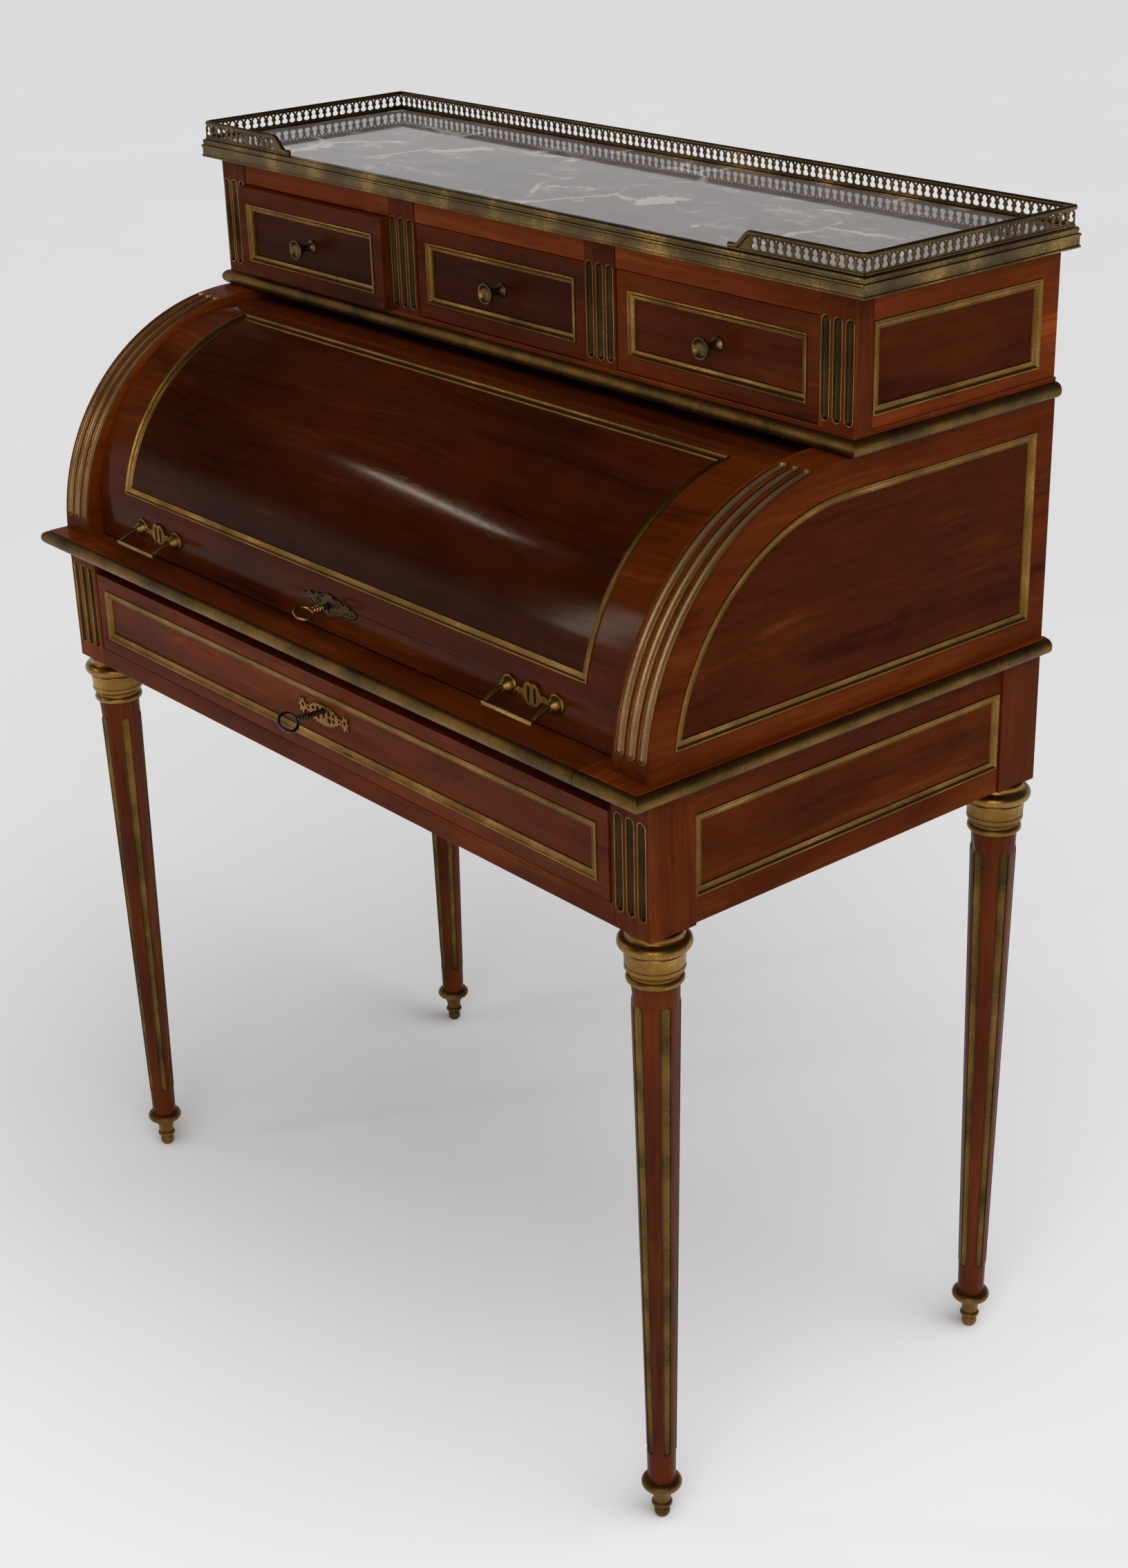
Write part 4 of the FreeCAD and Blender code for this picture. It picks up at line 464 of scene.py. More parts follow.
@cache
def leather():
    material, tree, shader = new_material("green_leather")
    place = own_coordinates(tree)
    patch = noise(tree, place, 18, 4)
    colour = mixed(tree, spread(tree, patch, 0.35, 0.65), *LEATHER_TONES)
    tree.links.new(colour, shader.inputs["Base Color"])
    tree.links.new(spread(tree, patch, 0.3, 0.7, 0.42, 0.6), shader.inputs["Roughness"])
    pebble = spread(tree, cell_edges(tree, place, 700), 0.0, 0.25)
    raise_surface(tree, shader, pebble, strength=0.4, distance=0.0003)
    return material


# Mesh building, in millimetres until a piece is published

MIRROR = Matrix.Scale(-1, 4, (1, 0, 0))
FORWARD = Matrix.Rotation(math.radians(90), 4, "X")
OUTWARD = Matrix.Rotation(math.radians(90), 4, "Z")
# An edge steeper than this stays sharp in the shading: of mouldings, and of boards
SMOOTH_ANGLE = math.radians(38)
BOARD_ANGLE = math.radians(20)
# An edge steeper than this is rounded, on a board and (in radians) on a plate
CORNER_ANGLE = math.radians(50)
RIM_ANGLE = 1.2
# Faces of a solid that meet flatter than this are joined
FLAT_ANGLE = math.radians(0.5)
# Points closer than this are one, in the scene's own meshes and in the frame's
WELD, FRAME_WELD = 0.001, 0.01
# Air between the floor of a brass flute and the wood
FLUTE_AIR = 0.15


def at(x, y, z):
    return Matrix.Translation((x, y, z))


def publish(name, bm, materials, body, slot, *nodes, smooth=SMOOTH_ANGLE):
    """Puts a finished mesh in the scene on its body, in place of the frame's nodes named."""
    bmesh.ops.scale(bm, vec=(MM, MM, MM), verts=bm.verts)
    mesh = bpy.data.meshes.new(name)
    bm.to_mesh(mesh)
    bm.free()
    for material in materials:
        mesh.materials.append(material)
    mesh.shade_smooth()
    mesh.set_sharp_from_angle(angle=smooth)
    piece = bpy.data.objects.new(name, mesh)
    bpy.context.scene.collection.objects.link(piece)
    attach(piece, body)
    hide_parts(*nodes)


def body_of(node):
    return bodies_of(frame["nodes"][node])[0]


def span(node):
    """Lowest and highest corner of a frame node."""
    low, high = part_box(node)
    return low / MM, high / MM


def solid_copy(node):
    """Joined copy of a frame node's mesh."""
    bm = bmesh.new()
    bm.from_mesh(frame["nodes"][node].data)
    bmesh.ops.scale(bm, vec=(1 / MM, 1 / MM, 1 / MM), verts=bm.verts)
    bmesh.ops.remove_doubles(bm, verts=bm.verts, dist=FRAME_WELD)
    return bm


def cylinder_axis():
    hinge = next(joint for joint in frame["joints"] if joint["child"] == "cylinder")
    return Vector(hinge["pos_m"]) / MM


def islands(node):
    """Boxes of the loose solids of a frame node, as (low, high) corners."""
    bm = solid_copy(node)
    boxes, seen = [], set()
    for start in bm.verts:
        if start in seen:
            continue
        seen.add(start)
        front, points = [start], []
        while front:
            spot = front.pop()
            points.append(spot.co.copy())
            for edge in spot.link_edges:
                other = edge.other_vert(spot)
                if other not in seen:
                    seen.add(other)
                    front.append(other)
        low = Vector([min(point[axis] for point in points) for axis in range(3)])
        high = Vector([max(point[axis] for point in points) for axis in range(3)])
        boxes.append((low, high))
    bm.free()
    return boxes


def placed(bm, matrix):
    """Moves a loose piece to its place."""
    bmesh.ops.transform(bm, matrix=matrix, verts=bm.verts)
    return bm


def merge(bm, piece, *matrices):
    """Adds copies of a loose piece to a mesh under way, one for each matrix."""
    for matrix in matrices or (Matrix(),):
        copy = placed(piece.copy(), matrix)
        if matrix.determinant() < 0:
            bmesh.ops.reverse_faces(copy, faces=copy.faces)
        step = bpy.data.meshes.new("step")
        copy.to_mesh(step)
        copy.free()
        bm.from_mesh(step)
        bpy.data.meshes.remove(step)
    piece.free()


def outward(bm):
    """Joins doubles of a closed shape and turns its faces outwards."""
    bmesh.ops.remove_doubles(bm, verts=bm.verts, dist=WELD)
    bmesh.ops.recalc_face_normals(bm, faces=bm.faces)
    return bm


def rounded(bm, edges, width):
    return bmesh.ops.bevel(bm, geom=edges, offset=width, segments=2, profile=0.5, affect="EDGES",
                           material=-1, clamp_overlap=True)["faces"]


def circle(bm, radius, segments, matrix):
    """Points and edges of a circle."""
    spots = bmesh.ops.create_circle(bm, radius=radius, segments=segments, matrix=matrix)["verts"]
    return spots, list({edge for spot in spots for edge in spot.link_edges})


def spun(bm, spots, edges, steps):
    """Turns points and edges once round the upright axis."""
    bmesh.ops.spin(bm, geom=spots + edges, cent=(0, 0, 0), axis=(0, 0, 1), angle=math.tau,
                   steps=steps, use_merge=True)
    return outward(bm)


def chain(bm, points):
    """Open line of edges through the points."""
    spots = [bm.verts.new(point) for point in points]
    return spots, [bm.edges.new(pair) for pair in zip(spots, spots[1:])]


def block(low, high, round_over):
    """Box between two corners with rounded edges."""
    bm = bmesh.new()
    bmesh.ops.create_cube(bm, size=1)
    low, high = Vector(low), Vector(high)
    placed(bm, Matrix.Translation((low + high) / 2) @ Matrix.Diagonal((*(high - low), 1)))
    rounded(bm, bm.edges[:], round_over)
    return bm


def turned(profile, steps=32):
    """Outline of (radius, height) points turned round the upright axis."""
    bm = bmesh.new()
    spots, edges = chain(bm, [(radius, 0, height) for radius, height in profile])
    return spun(bm, spots, edges, steps)


def bulge(radius, height, size, start, end, steps=8):
    """Points of a round bead of a turned outline, from one angle in degrees to another."""
    turns = [math.radians(start + (end - start) * step / steps) for step in range(steps + 1)]
    return [(radius + size * math.cos(turn), height + size * math.sin(turn)) for turn in turns]


def tube(stations, segments=12):
    """Round bar through stations of (point, radius), closed at both ends."""
    bm = bmesh.new()
    rings = []
    points = [Vector(point) for point, radius in stations]
    for index, (point, radius) in enumerate(stations):
        ahead = points[min(index + 1, len(points) - 1)] - points[max(index - 1, 0)]
        turn = ahead.to_track_quat("Z", "Y").to_matrix().to_4x4()
        rings.append(circle(bm, radius, segments, Matrix.Translation(point) @ turn)[1])
    for low, high in zip(rings, rings[1:]):
        bmesh.ops.bridge_loops(bm, edges=low + high)
    for ring in (rings[0], rings[-1]):
        bmesh.ops.edgeloop_fill(bm, edges=ring)
    return outward(bm)


def ring(radius, wire):
    """Round wire bent to a circle round the upright axis."""
    bm = bmesh.new()
    return spun(bm, *circle(bm, wire, 12, at(radius, 0, 0) @ FORWARD), 32)


def dome(width, height, depth):
    """Low oval boss facing forwards."""
    bm = bmesh.new()
    bmesh.ops.create_uvsphere(bm, u_segments=16, v_segments=8, radius=1)
    bmesh.ops.scale(bm, vec=(width / 2, depth, height / 2), verts=bm.verts)
    return bm


def plate(rims, thickness, round_over=0.0):
    """Flat plate in the plane y = 0, facing forwards: the first rim bounds it, others are holes."""
    bm = bmesh.new()
    for rim in rims:
        spots = chain(bm, [(x, 0, z) for x, z in rim])[0]
        bm.edges.new((spots[-1], spots[0]))
    filled = bmesh.ops.triangle_fill(bm, use_beauty=True, edges=bm.edges[:], normal=(0, -1, 0))
    faces = [item for item in filled["geom"] if isinstance(item, bmesh.types.BMFace)]
    grown = bmesh.ops.extrude_face_region(bm, geom=faces)["geom"]
    spots = [item for item in grown if isinstance(item, bmesh.types.BMVert)]
    bmesh.ops.translate(bm, verts=spots, vec=(0, -thickness, 0))
    outward(bm)
    if round_over:
        front = [edge for edge in bm.edges
                 if edge.is_manifold and edge.calc_face_angle() > RIM_ANGLE
                 and max(spot.co.y for spot in edge.verts) < -thickness / 2]
        rounded(bm, front, round_over)
    return bm


def both_sides(half):
    """Closed outline from the points of its right half, given from the top to the bottom."""
    return half + [(-x, z) for x, z in reversed(half) if x]


def bent(bm, centre, radius, start):
    """Wraps a shape in the plane y = 0 round an axis along X, its foot at the start angle."""
    for spot in bm.verts:
        turn, reach = start + spot.co.z / radius, radius - spot.co.y
        spot.co.y = centre[0] - reach * math.cos(turn)
        spot.co.z = centre[1] + reach * math.sin(turn)
    bm.normal_update()
    return bm


def flute(low_half, high_half, length, depth, cuts=0):
    """Round-ended brass trough facing forwards from its lower end's middle; inside is finish 1."""
    setup = bpy.context.scene.desk_flutes
    lip, rise = setup.lip / MM, setup.rise / MM
    depth -= FLUTE_AIR
    turns = [math.pi / 12 * step for step in range(7)]
    rim = ((0.15, 0.8), (0.5, 1), (0.9, 0.6))
    bm = bmesh.new()
    ends = []
    for half, height, sweep in ((low_half, 0, math.pi), (high_half, length, -math.pi)):
        points = [(half * math.sin(turn), depth * math.cos(turn)) for turn in turns]
        points += [(half + lip * out, -rise * up) for out, up in rim]
        points.append((half + lip, depth / 4))
        spots, edges = chain(bm, [(x, y, height) for x, y in points])
        made = bmesh.ops.spin(bm, geom=spots + edges, cent=(0, 0, height), axis=(0, 1, 0),
                              angle=sweep, steps=10)
        last = [item for item in made["geom_last"] if isinstance(item, bmesh.types.BMEdge)]
        ends.append((edges, last))
    for low, high in zip(*ends):
        sides = bmesh.ops.bridge_loops(bm, edges=low + high)["edges"]
        if cuts:
            bmesh.ops.subdivide_edges(bm, edges=sides, cuts=cuts, use_grid_fill=True)
    outward(bm)
    bm.normal_update()
    deepest = max(bm.faces, key=lambda face: face.calc_center_median().y)
    if deepest.normal.y > 0:
        bmesh.ops.reverse_faces(bm, faces=bm.faces)
    for face in bm.faces:
        face.material_index = int(face.calc_center_median().y > depth * 0.3)
    return bm


def frame_steps(width, recess, lip):
    """Inward and outward steps of a frame: raised rim, cove, inner fillet, down to the field."""
    flat_steps = 3.4
    cove, fall = width - flat_steps, recess + lip
    return [(0.05, lip * 0.7), (0.5, lip * 0.3), (1.1, 0), (0.35, -fall * 0.14),
            (cove * 0.16, -fall * 0.24), (cove * 0.22, -fall * 0.18), (cove * 0.28, -fall * 0.12),
            (cove * 0.34, -fall * 0.04), (0.2, fall * 0.1), (0.7, 0), (0.5, -fall * 0.38)]


def frame_moulding(outline, width, recess):
    """Mitred moulding facing forwards round an outline of (x, z) points in the plane y = 0."""
    lip = bpy.context.scene.desk_frames.lip / MM
    bm = bmesh.new()
    face = bm.faces.new([bm.verts.new((x, 0, z)) for x, z in outline])
    face.normal_update()
    if face.normal.y > 0:
        face.normal_flip()
    for inward, out in frame_steps(width, recess, lip):
        bmesh.ops.inset_region(bm, faces=[face], thickness=inward, depth=out, use_boundary=True,
                               use_even_offset=True)
    bmesh.ops.delete(bm, geom=[face], context="FACES_ONLY")
    return bm


def rectangle(low_x, high_x, low_z, high_z, rows=1):
    """Outline of a rectangle whose upright sides have the given number of rows."""
    heights = [low_z + (high_z - low_z) * row / rows for row in range(rows + 1)]
    left, right = [[(x, height) for height in heights] for x in (low_x, high_x)]
    return left + right[::-1]


def band_round(corners, profile):
    """Moulding of (outward, height) points carried round the corners of a rectangle."""
    (low_x, low_y), (high_x, high_y) = corners
    bm = bmesh.new()
    stations = []
    for x, y, side_x, side_y in ((low_x, low_y, -1, -1), (high_x, low_y, 1, -1),
                                 (high_x, high_y, 1, 1), (low_x, high_y, -1, 1)):
        line = [(x + side_x * out, y + side_y * out, height) for out, height in profile]
        stations.append(chain(bm, line)[1])
    for near, far in zip(stations, stations[1:] + stations[:1]):
        bmesh.ops.bridge_loops(bm, edges=near + far)
    return outward(bm)


def soften(node, materials, slot, edge, sunk=None):
    """Copy of a frame node with worn edges; sunk tells the faces of its field by their middle."""
    bm = solid_copy(node)
    bmesh.ops.dissolve_limit(bm, angle_limit=FLAT_ANGLE, verts=bm.verts, edges=bm.edges)
    sharp = [item for item in bm.edges if item.is_manifold and item.is_convex
             and item.calc_face_angle() > CORNER_ANGLE]
    if edge:
        for face in rounded(bm, sharp, edge):
            face.material_index = 1
    for face in bm.faces if sunk else ():
        if sunk(face.calc_center_median()):
            face.material_index = 2
    publish(f"{node}_finish", bm, materials, body_of(node), slot, node, smooth=BOARD_ANGLE)


def dress(node, material):
    """Gives a frame node its finish."""
    slots = frame["nodes"][node].data.materials
    slots.clear()
    slots.append(material)


# Pieces


class DESK_OT_woodwork(bpy.types.Operator):
    """Polished mahogany of case, stand, cylinder, slide and drawer fronts"""

    bl_idname = "desk.woodwork"
    bl_label = "Mahogany"

    # Grain, place in the figure, shade and gloss of each board
    boards = {
        "upper_deck": ("X", 0.3, 1.0, 0.03), "upper_pilasters": ("Z", 0.7, 0.9, 0.03),
        "upper_rails": ("X", 1.1, 1.7, 0.03), "pigeonhole_nest": ("X", 3.1, 0.9, 0.03),
        "table_top_frame": ("Y", 3.7, 0.9, 0.03), "corner_posts": ("Z", 4.1, 1.0, 0.03),
        "front_rails": ("X", 5.3, 1.0, 0.03), "writing_slide": ("X", 8.3, 0.6, 0.06),
        "frieze_drawer_front": ("X", 8.9, 1.1, 0.04),
    }
    # Place in the figure, shade of the boards and shade of the sunk fields
    sides = {"upper_sides": (1.7, 1.4, 0.58), "carcase_side_right": (2.3, 0.95, 0.55),
             "carcase_side_left": (2.9, 0.95, 0.55), "side_aprons": (4.7, 0.75, 0.7)}
    # The drawer fronts' shades hold painted light: the left and centre fronts and fields darker,
    # the right one lighter, as if lit from the right
    drawers = {"drawer_left_front": (6.1, 0.7, 0.4), "drawer_centre_front": (6.7, 0.75, 0.4),
               "drawer_right_front": (7.3, 1.1, 0.85)}
    side_gloss, drawer_gloss = 0.02, 0.03
    # Worn edges are so much lighter, and a sunk field lies so far on in the figure
    worn, field_shift = 1.4, 0.2
    # A face of a field is so near to the field's floor, on a flat board and on the cylinder
    near, near_round = 0.1, 1.0

    def finish(self, grain, offset, shade, gloss, field=None):
        """Board, worn edge and, where there is one, sunk field."""
        made = [wood(grain, offset, tone, gloss) for tone in (shade, shade * self.worn)]
        if field:
            made.append(wood(grain, offset + self.field_shift, field, gloss))
        return made

    def execute(self, context):
        edge = context.scene.desk_wood.edge / MM
        frames = context.scene.desk_frames
        recess, small = frames.recess / MM, frames.drawer_recess / MM
        for node, finish in self.boards.items():
            soften(node, self.finish(*finish), "mahogany", edge)
        for node, (offset, shade, field) in self.sides.items():
            low, high = span(node)
            floor = max(high.x, -low.x) - recess
            finish = self.finish("Y", offset, shade, self.side_gloss, field)
            soften(node, finish, "mahogany", edge,
                   lambda middle, floor=floor: abs(abs(middle.x) - floor) < self.near)
        for node, (offset, shade, field) in self.drawers.items():
            floor = span(node)[0].y + small
            finish = self.finish("X", offset, shade, self.drawer_gloss, field)
            soften(node, finish, "mahogany", edge,
                   lambda middle, floor=floor: abs(middle.y - floor) < self.near)
        self.cylinder(frames, edge)
        soften("legs", (leg_wood(),), "mahogany", 0)
        return {"FINISHED"}

    def cylinder(self, frames, edge):
        axis = cylinder_axis()
        floor = (frames.cylinder_radius - frames.recess) / MM
        finish = (wood("X", 7.9, 0.62, gloss=0.055, polish=0.12), wood("X", 7.9, 1.2),
                  wood("X", 7.5, 0.32, polish=0.1))

        def sunk(middle):
            near = abs((middle - axis).yz.length - floor) < self.near_round
            return near and middle.z > axis.z

        soften("cylinder_panel", finish, "mahogany", edge, sunk)


class DESK_OT_inner_boards(bpy.types.Operator):
    """Plain wood of drawer boxes, runners, partitions and backs"""

    bl_idname = "desk.inner_boards"
    bl_label = "Inner boards"

    boards = {"drawer_left_box": "Y", "drawer_centre_box": "Y", "drawer_right_box": "Y",
              "frieze_drawer_box": "Y", "drawer_runners": "Y", "slide_bed": "X",
              "upper_partitions": "Y", "back_panels": "X", "upper_top_board": "X",
              "cylinder_quadrants": "Z"}

    def execute(self, context):
        for node, grain in self.boards.items():
            dress(node, inner_wood(grain))
        return {"FINISHED"}


class DESK_OT_slab(bpy.types.Operator):
    """Marble slab and the leather of the slide"""

    bl_idname = "desk.slab"
    bl_label = "Marble and leather"

    def execute(self, context):
        soften("marble_top", (marble(),), "marble", context.scene.desk_marble.edge / MM)
        dress("slide_leather", leather())
        return {"FINISHED"}


class DESK_OT_ironwork(bpy.types.Operator):
    """Locks, bolts and pivots"""

    bl_idname = "desk.ironwork"
    bl_label = "Locks and pivots"

    def execute(self, context):
        for entry in frame["record"]["subparts"]:
            if entry["material_slot"] == "iron":
                dress(entry["node"], iron())
        return {"FINISHED"}


class DESK_OT_flutes(bpy.types.Operator):
    """Brass troughs of pilasters, posts, curved edges and legs"""

    bl_idname = "desk.flutes"
    bl_label = "Brass flutes"

    edge_cuts = 24
    # Depth by which a leg's trough is let into its flute
    settle = 0.4

    def execute(self, context):
        setup = context.scene.desk_flutes
        low, high = span("carcase_side_right")
        radius, depth = setup.edge_radius / MM, setup.depth / MM
        centre = (low.y + radius, high.z - radius)
        sweep = (setup.edge_end - setup.edge_start) * radius
        bm = bmesh.new()
        for low, high in islands("flute_liners"):
            half, middle = (high.x - low.x) / 2, (high.x + low.x) / 2
            if high.y - low.y < half:
                straight = flute(half, half, high.z - low.z - 2 * half, depth)
                merge(bm, straight, at(middle, high.y - depth, low.z + half))
            else:
                curved = flute(half, half, sweep, depth, self.edge_cuts)
                bent(curved, centre, radius, setup.edge_start)
                # Curved troughs take finish 2, the lighter copy with painted light; straight
                # troughs keep finish 1, darkened with painted shade
                for face in curved.faces:
                    face.material_index *= 2
                merge(bm, curved, at(middle, 0, 0))
        # Rims rubbed bright; the troughs carry painted shade where straight and painted light where
        # curved
        finish = (brass("rubbed_brass"), brass("flute_brass"), brass("lit_flute_brass"))
        publish("flute_troughs", bm, finish, "case", "brass", "flute_liners")
        bm = self.leg_troughs(setup)
        finish = (brass("leg_rim_brass"), brass("leg_flute_brass"))
        publish("leg_flute_troughs", bm, finish, "case", "brass", "leg_flute_liners")
        return {"FINISHED"}

    def leg_troughs(self, setup):
        bm = bmesh.new()
        for low, high in islands("legs"):
            foot_radius, head_radius = setup.leg_foot_radius / MM, (high.x - low.x) / 2
            foot, head = low.z + setup.leg_foot_gap / MM, high.z - setup.leg_head_gap / MM
            taper = (head_radius - foot_radius) / (high.z - low.z)
            halves = setup.leg_foot_width / MM / 2, setup.leg_head_width / MM / 2
            length, depth = head - foot - sum(halves), setup.leg_depth / MM - self.settle
            reach = foot_radius + taper * (foot - low.z) - self.settle
            lean = Matrix.Rotation(math.atan(taper), 4, "X")
            seat = at(0, -reach, foot) @ lean @ at(0, 0, halves[0])
            axis = at((low.x + high.x) / 2, (low.y + high.y) / 2, 0)
            turns = [math.tau * step / setup.leg_count for step in range(setup.leg_count)]
            merge(bm, flute(*halves, length, depth),
                  *[axis @ Matrix.Rotation(turn, 4, "Z") @ seat for turn in turns])
        return bm


class DESK_OT_frames(bpy.types.Operator):
    """Mitred brass frames round the sunk fields"""

    bl_idname = "desk.frames"
    bl_label = "Brass frames"

    # A side field higher than this is the carcase's
    tall = 150
    arc_steps, cylinder_rows = 28, 30

    def execute(self, context):
        setup = context.scene.desk_frames
        lip, width, recess = setup.lip / MM, setup.width / MM, setup.recess / MM
        small = setup.drawer_width / MM, setup.drawer_recess / MM
        finish = (brass("frame_brass"),)
        for node, sizes in (("drawer_left_frame", small), ("drawer_centre_frame", small),
                            ("drawer_right_frame", small),
                            ("frieze_drawer_frame", (width, recess))):
            low, high = span(node)
            bm = frame_moulding(rectangle(low.x, high.x, low.z, high.z), *sizes)
            placed(bm, at(0, low.y + lip, 0))
            publish(f"{node}_moulding", bm, finish, body_of(node), "brass", node)
        bm = bmesh.new()
        for low, high in islands("side_frames"):
            if low.x > 0:
                outline = rectangle(low.y, high.y, low.z, high.z)
                if high.z - low.z > self.tall:
                    outline = self.carcase_outline(context, low, high)
                seat = at(high.x - lip, 0, 0) @ OUTWARD
                merge(bm, frame_moulding(outline, width, recess), seat, MIRROR @ seat)
        publish("side_frame_mouldings", bm, finish, "case", "brass", "side_frames")
        bm = self.cylinder_frame(setup, width, recess)
        publish("cylinder_frame_moulding", bm, finish, "cylinder", "brass", "cylinder_frame")
        return {"FINISHED"}

    def carcase_outline(self, context, low, high):
        """Field of a carcase side: quarter round at the front, square at the back."""
        side_low, side_high = span("carcase_side_right")
        reach = context.scene.desk_flutes.edge_radius / MM
        centre_y, centre_z = side_low.y + reach, side_high.z - reach
        radius = high.z - centre_z
        start = math.asin((low.z - centre_z) / radius)
        arc = []
        for step in range(self.arc_steps + 1):
            turn = start + (math.pi / 2 - start) * step / self.arc_steps
            arc.append((centre_y - radius * math.cos(turn), centre_z + radius * math.sin(turn)))
        return arc + [(high.y, high.z), (high.y, low.z)]

    def cylinder_frame(self, setup, width, recess):
        low, high = span("cylinder_frame")
        radius = setup.cylinder_radius / MM
        axis = cylinder_axis()
        length = (setup.cylinder_end - setup.cylinder_start) * radius
        outline = rectangle(low.x, high.x, 0, length, self.cylinder_rows)
        moulding = frame_moulding(outline, width, recess)
        return bent(moulding, (axis.y, axis.z), radius, setup.cylinder_start)


class DESK_OT_mouldings(bpy.types.Operator):
    """Half-round mouldings of waist, table and slide, and the band round the slab"""

    bl_idname = "desk.mouldings"
    bl_label = "Brass mouldings"

    band = ((0.1, 0.05), (2.5, 0), (3.3, 0.45), (3.5, 1.2), (3.3, 1.9), (2.8, 2.3), (2.55, 2.9),
            (2.55, 9.2), (2.8, 9.7), (3.35, 10.3), (3.5, 11.1), (3.3, 11.9), (2.6, 12.4),
            (1.7, 12.6), (1.6, 13.9), (2.0, 14.4), (2.1, 15.6), (1.8, 16.6), (1.0, 17.5),
            (-0.4, 18), (-3.3, 18), (-3.9, 17.6), (-4, 17.05))

    pin = ((0, 0.7), (0.5, 0.6), (0.9, 0.25), (1.0, 0))
    pin_places, pin_height, pin_seat, pin_steps = (-330, 330), 6.4, 1.0, 12

    def execute(self, context):
        for node in ("waist_moulding", "table_moulding", "slide_moulding"):
            soften(node, (brass("moulding_brass"),), "brass", 0)
        low, high = span("marble_top")
        bm = band_round((low.xy, high.xy), [(out, low.z + height) for out, height in self.band])
        face = span("top_band")[0].y + self.pin_seat
        for x in self.pin_places:
            pin = turned(self.pin, self.pin_steps)
            merge(bm, pin, at(x, face, low.z + self.pin_height) @ FORWARD)
        publish("top_band_moulding", bm, (brass("aged_brass"),), "case", "brass", "top_band")
        return {"FINISHED"}


class DESK_OT_gallery(bpy.types.Operator):
    """Pierced gallery with its round rail"""

    bl_idname = "desk.gallery"
    bl_label = "Gallery"

    # Right half of an opening, from its pointed head to its round foot; widths in half pitches
    club = ((0, 13.4), (0.2, 12.7), (0.46, 11.5), (0.64, 10.3), (0.6, 9.2), (0.44, 8.4),
            (0.42, 7.8), (0.56, 7.0), (0.74, 6.2), (0.8, 5.1), (0.74, 4.0), (0.5, 3.2), (0, 2.8))
    # Small triangle between two openings; its width too in half pitches
    triangle_top, triangle_tip, triangle_share = 14.2, 10.8, 0.5
    # Way of the rail round a front corner, to the right and to the back
    corner = ((0, 6), (0.8, 2.4), (2.4, 0.8), (6, 0))
    strip_half, strip_height, strip_round = 1.5, 1.7, 0.4
    sweep_steps = 8
    # Length of the rail's tip and how much of the rail's radius it keeps
    tip, tip_share = 1, 0.6

    def execute(self, context):
        setup = context.scene.desk_gallery
        low, high = span("gallery_sides")
        rail = setup.rail / MM
        self.base, self.rise = low.z, high.z - low.z - rail
        half, front = high.x - rail, low.y + rail
        back, top = span("gallery_back")[1].y - rail, self.base + self.rise
        finish = (brass("gallery_brass"),)
        behind = bmesh.new()
        self.pierce(behind, setup, 2 * half, at(-half, back, self.base))
        merge(behind, tube([((x, back, top), rail) for x in (-half + rail, 0, half - rail)]))
        merge(behind, self.strip((-half, back), (half, back)))
        publish("gallery_back_pierced", behind, finish, "case", "brass", "gallery_back")
        sides = bmesh.new()
        merge(sides, self.left_side(setup, half, front, back), Matrix(), MIRROR)
        publish("gallery_sides_pierced", sides, finish, "case", "brass", "gallery_sides")
        return {"FINISHED"}

    def cell(self, setup):
        """One opening with half of the small triangle at each side."""
        half = setup.pitch / MM / 2
        opening = both_sides([(share * half, height) for share, height in self.club])
        top, tip = self.triangle_top, self.triangle_tip
        edge = [(half, self.rise), (half, top), (half * self.triangle_share, top), (half, tip),
                (half, 0)]
        return plate([both_sides(edge), opening], setup.plate / MM)

    def pierce(self, bm, setup, length, seat):
        """Row of openings along local X from the seat."""
        nominal = setup.pitch / MM
        count = round(length / nominal)
        pitch = length / count
        fit = at(0, setup.plate / MM / 2, 0) @ Matrix.Scale(pitch / nominal, 4, (1, 0, 0))
        places = [at(pitch * (step + 0.5), 0, 0) for step in range(count)]
        merge(bm, self.cell(setup), *[seat @ place @ fit for place in places])

    def strip(self, start, end):
        """Foot of the plate between two points of its line, which runs along X or Y."""
        across = Vector((0, self.strip_half) if start[1] == end[1] else (self.strip_half, 0))
        low, high = Vector(start) - across, Vector(end) + across
        return block((*low, self.base), (*high, self.base + self.strip_height), self.strip_round)

    def left_side(self, setup, half, front, back):
        """Left run and its front return, which sweeps down to a low foot."""
        bm = bmesh.new()
        rail, base, reach = setup.rail / MM, self.base, setup.reach / MM
        start, run, foot = setup.sweep_start / MM, setup.sweep_run / MM, setup.foot / MM
        self.pierce(bm, setup, back - front, at(-half, front, base) @ OUTWARD)
        self.pierce(bm, setup, start, at(-half, front, base))
        sweep = []
        for step in range(self.sweep_steps + 1):
            share = step / self.sweep_steps
            drop = (self.rise - foot) * share**2 * (3 - 2 * share)
            sweep.append((start + run * share, self.rise - drop))
        last = reach - self.tip
        end = plate([[(start, 0), (last, 0), (last, foot), *reversed(sweep)]], setup.plate / MM)
        merge(bm, end, at(-half, front + setup.plate / MM / 2, base))
        way = [*sweep, (last - 2 * self.tip, foot), (last, foot)]
        line = [(-half, back, base + self.rise),
                *[(-half + x, front + y, base + self.rise) for x, y in self.corner],
                *[(-half + x, front, base + z) for x, z in way]]
        stations = [(point, rail) for point in line]
        stations.append(((-half + reach, front, base + foot), rail * self.tip_share))
        merge(bm, tube(stations))
        merge(bm, self.strip((-half, front), (-half, back)))
        merge(bm, self.strip((-half, front), (-half + reach, front)))
        return bm


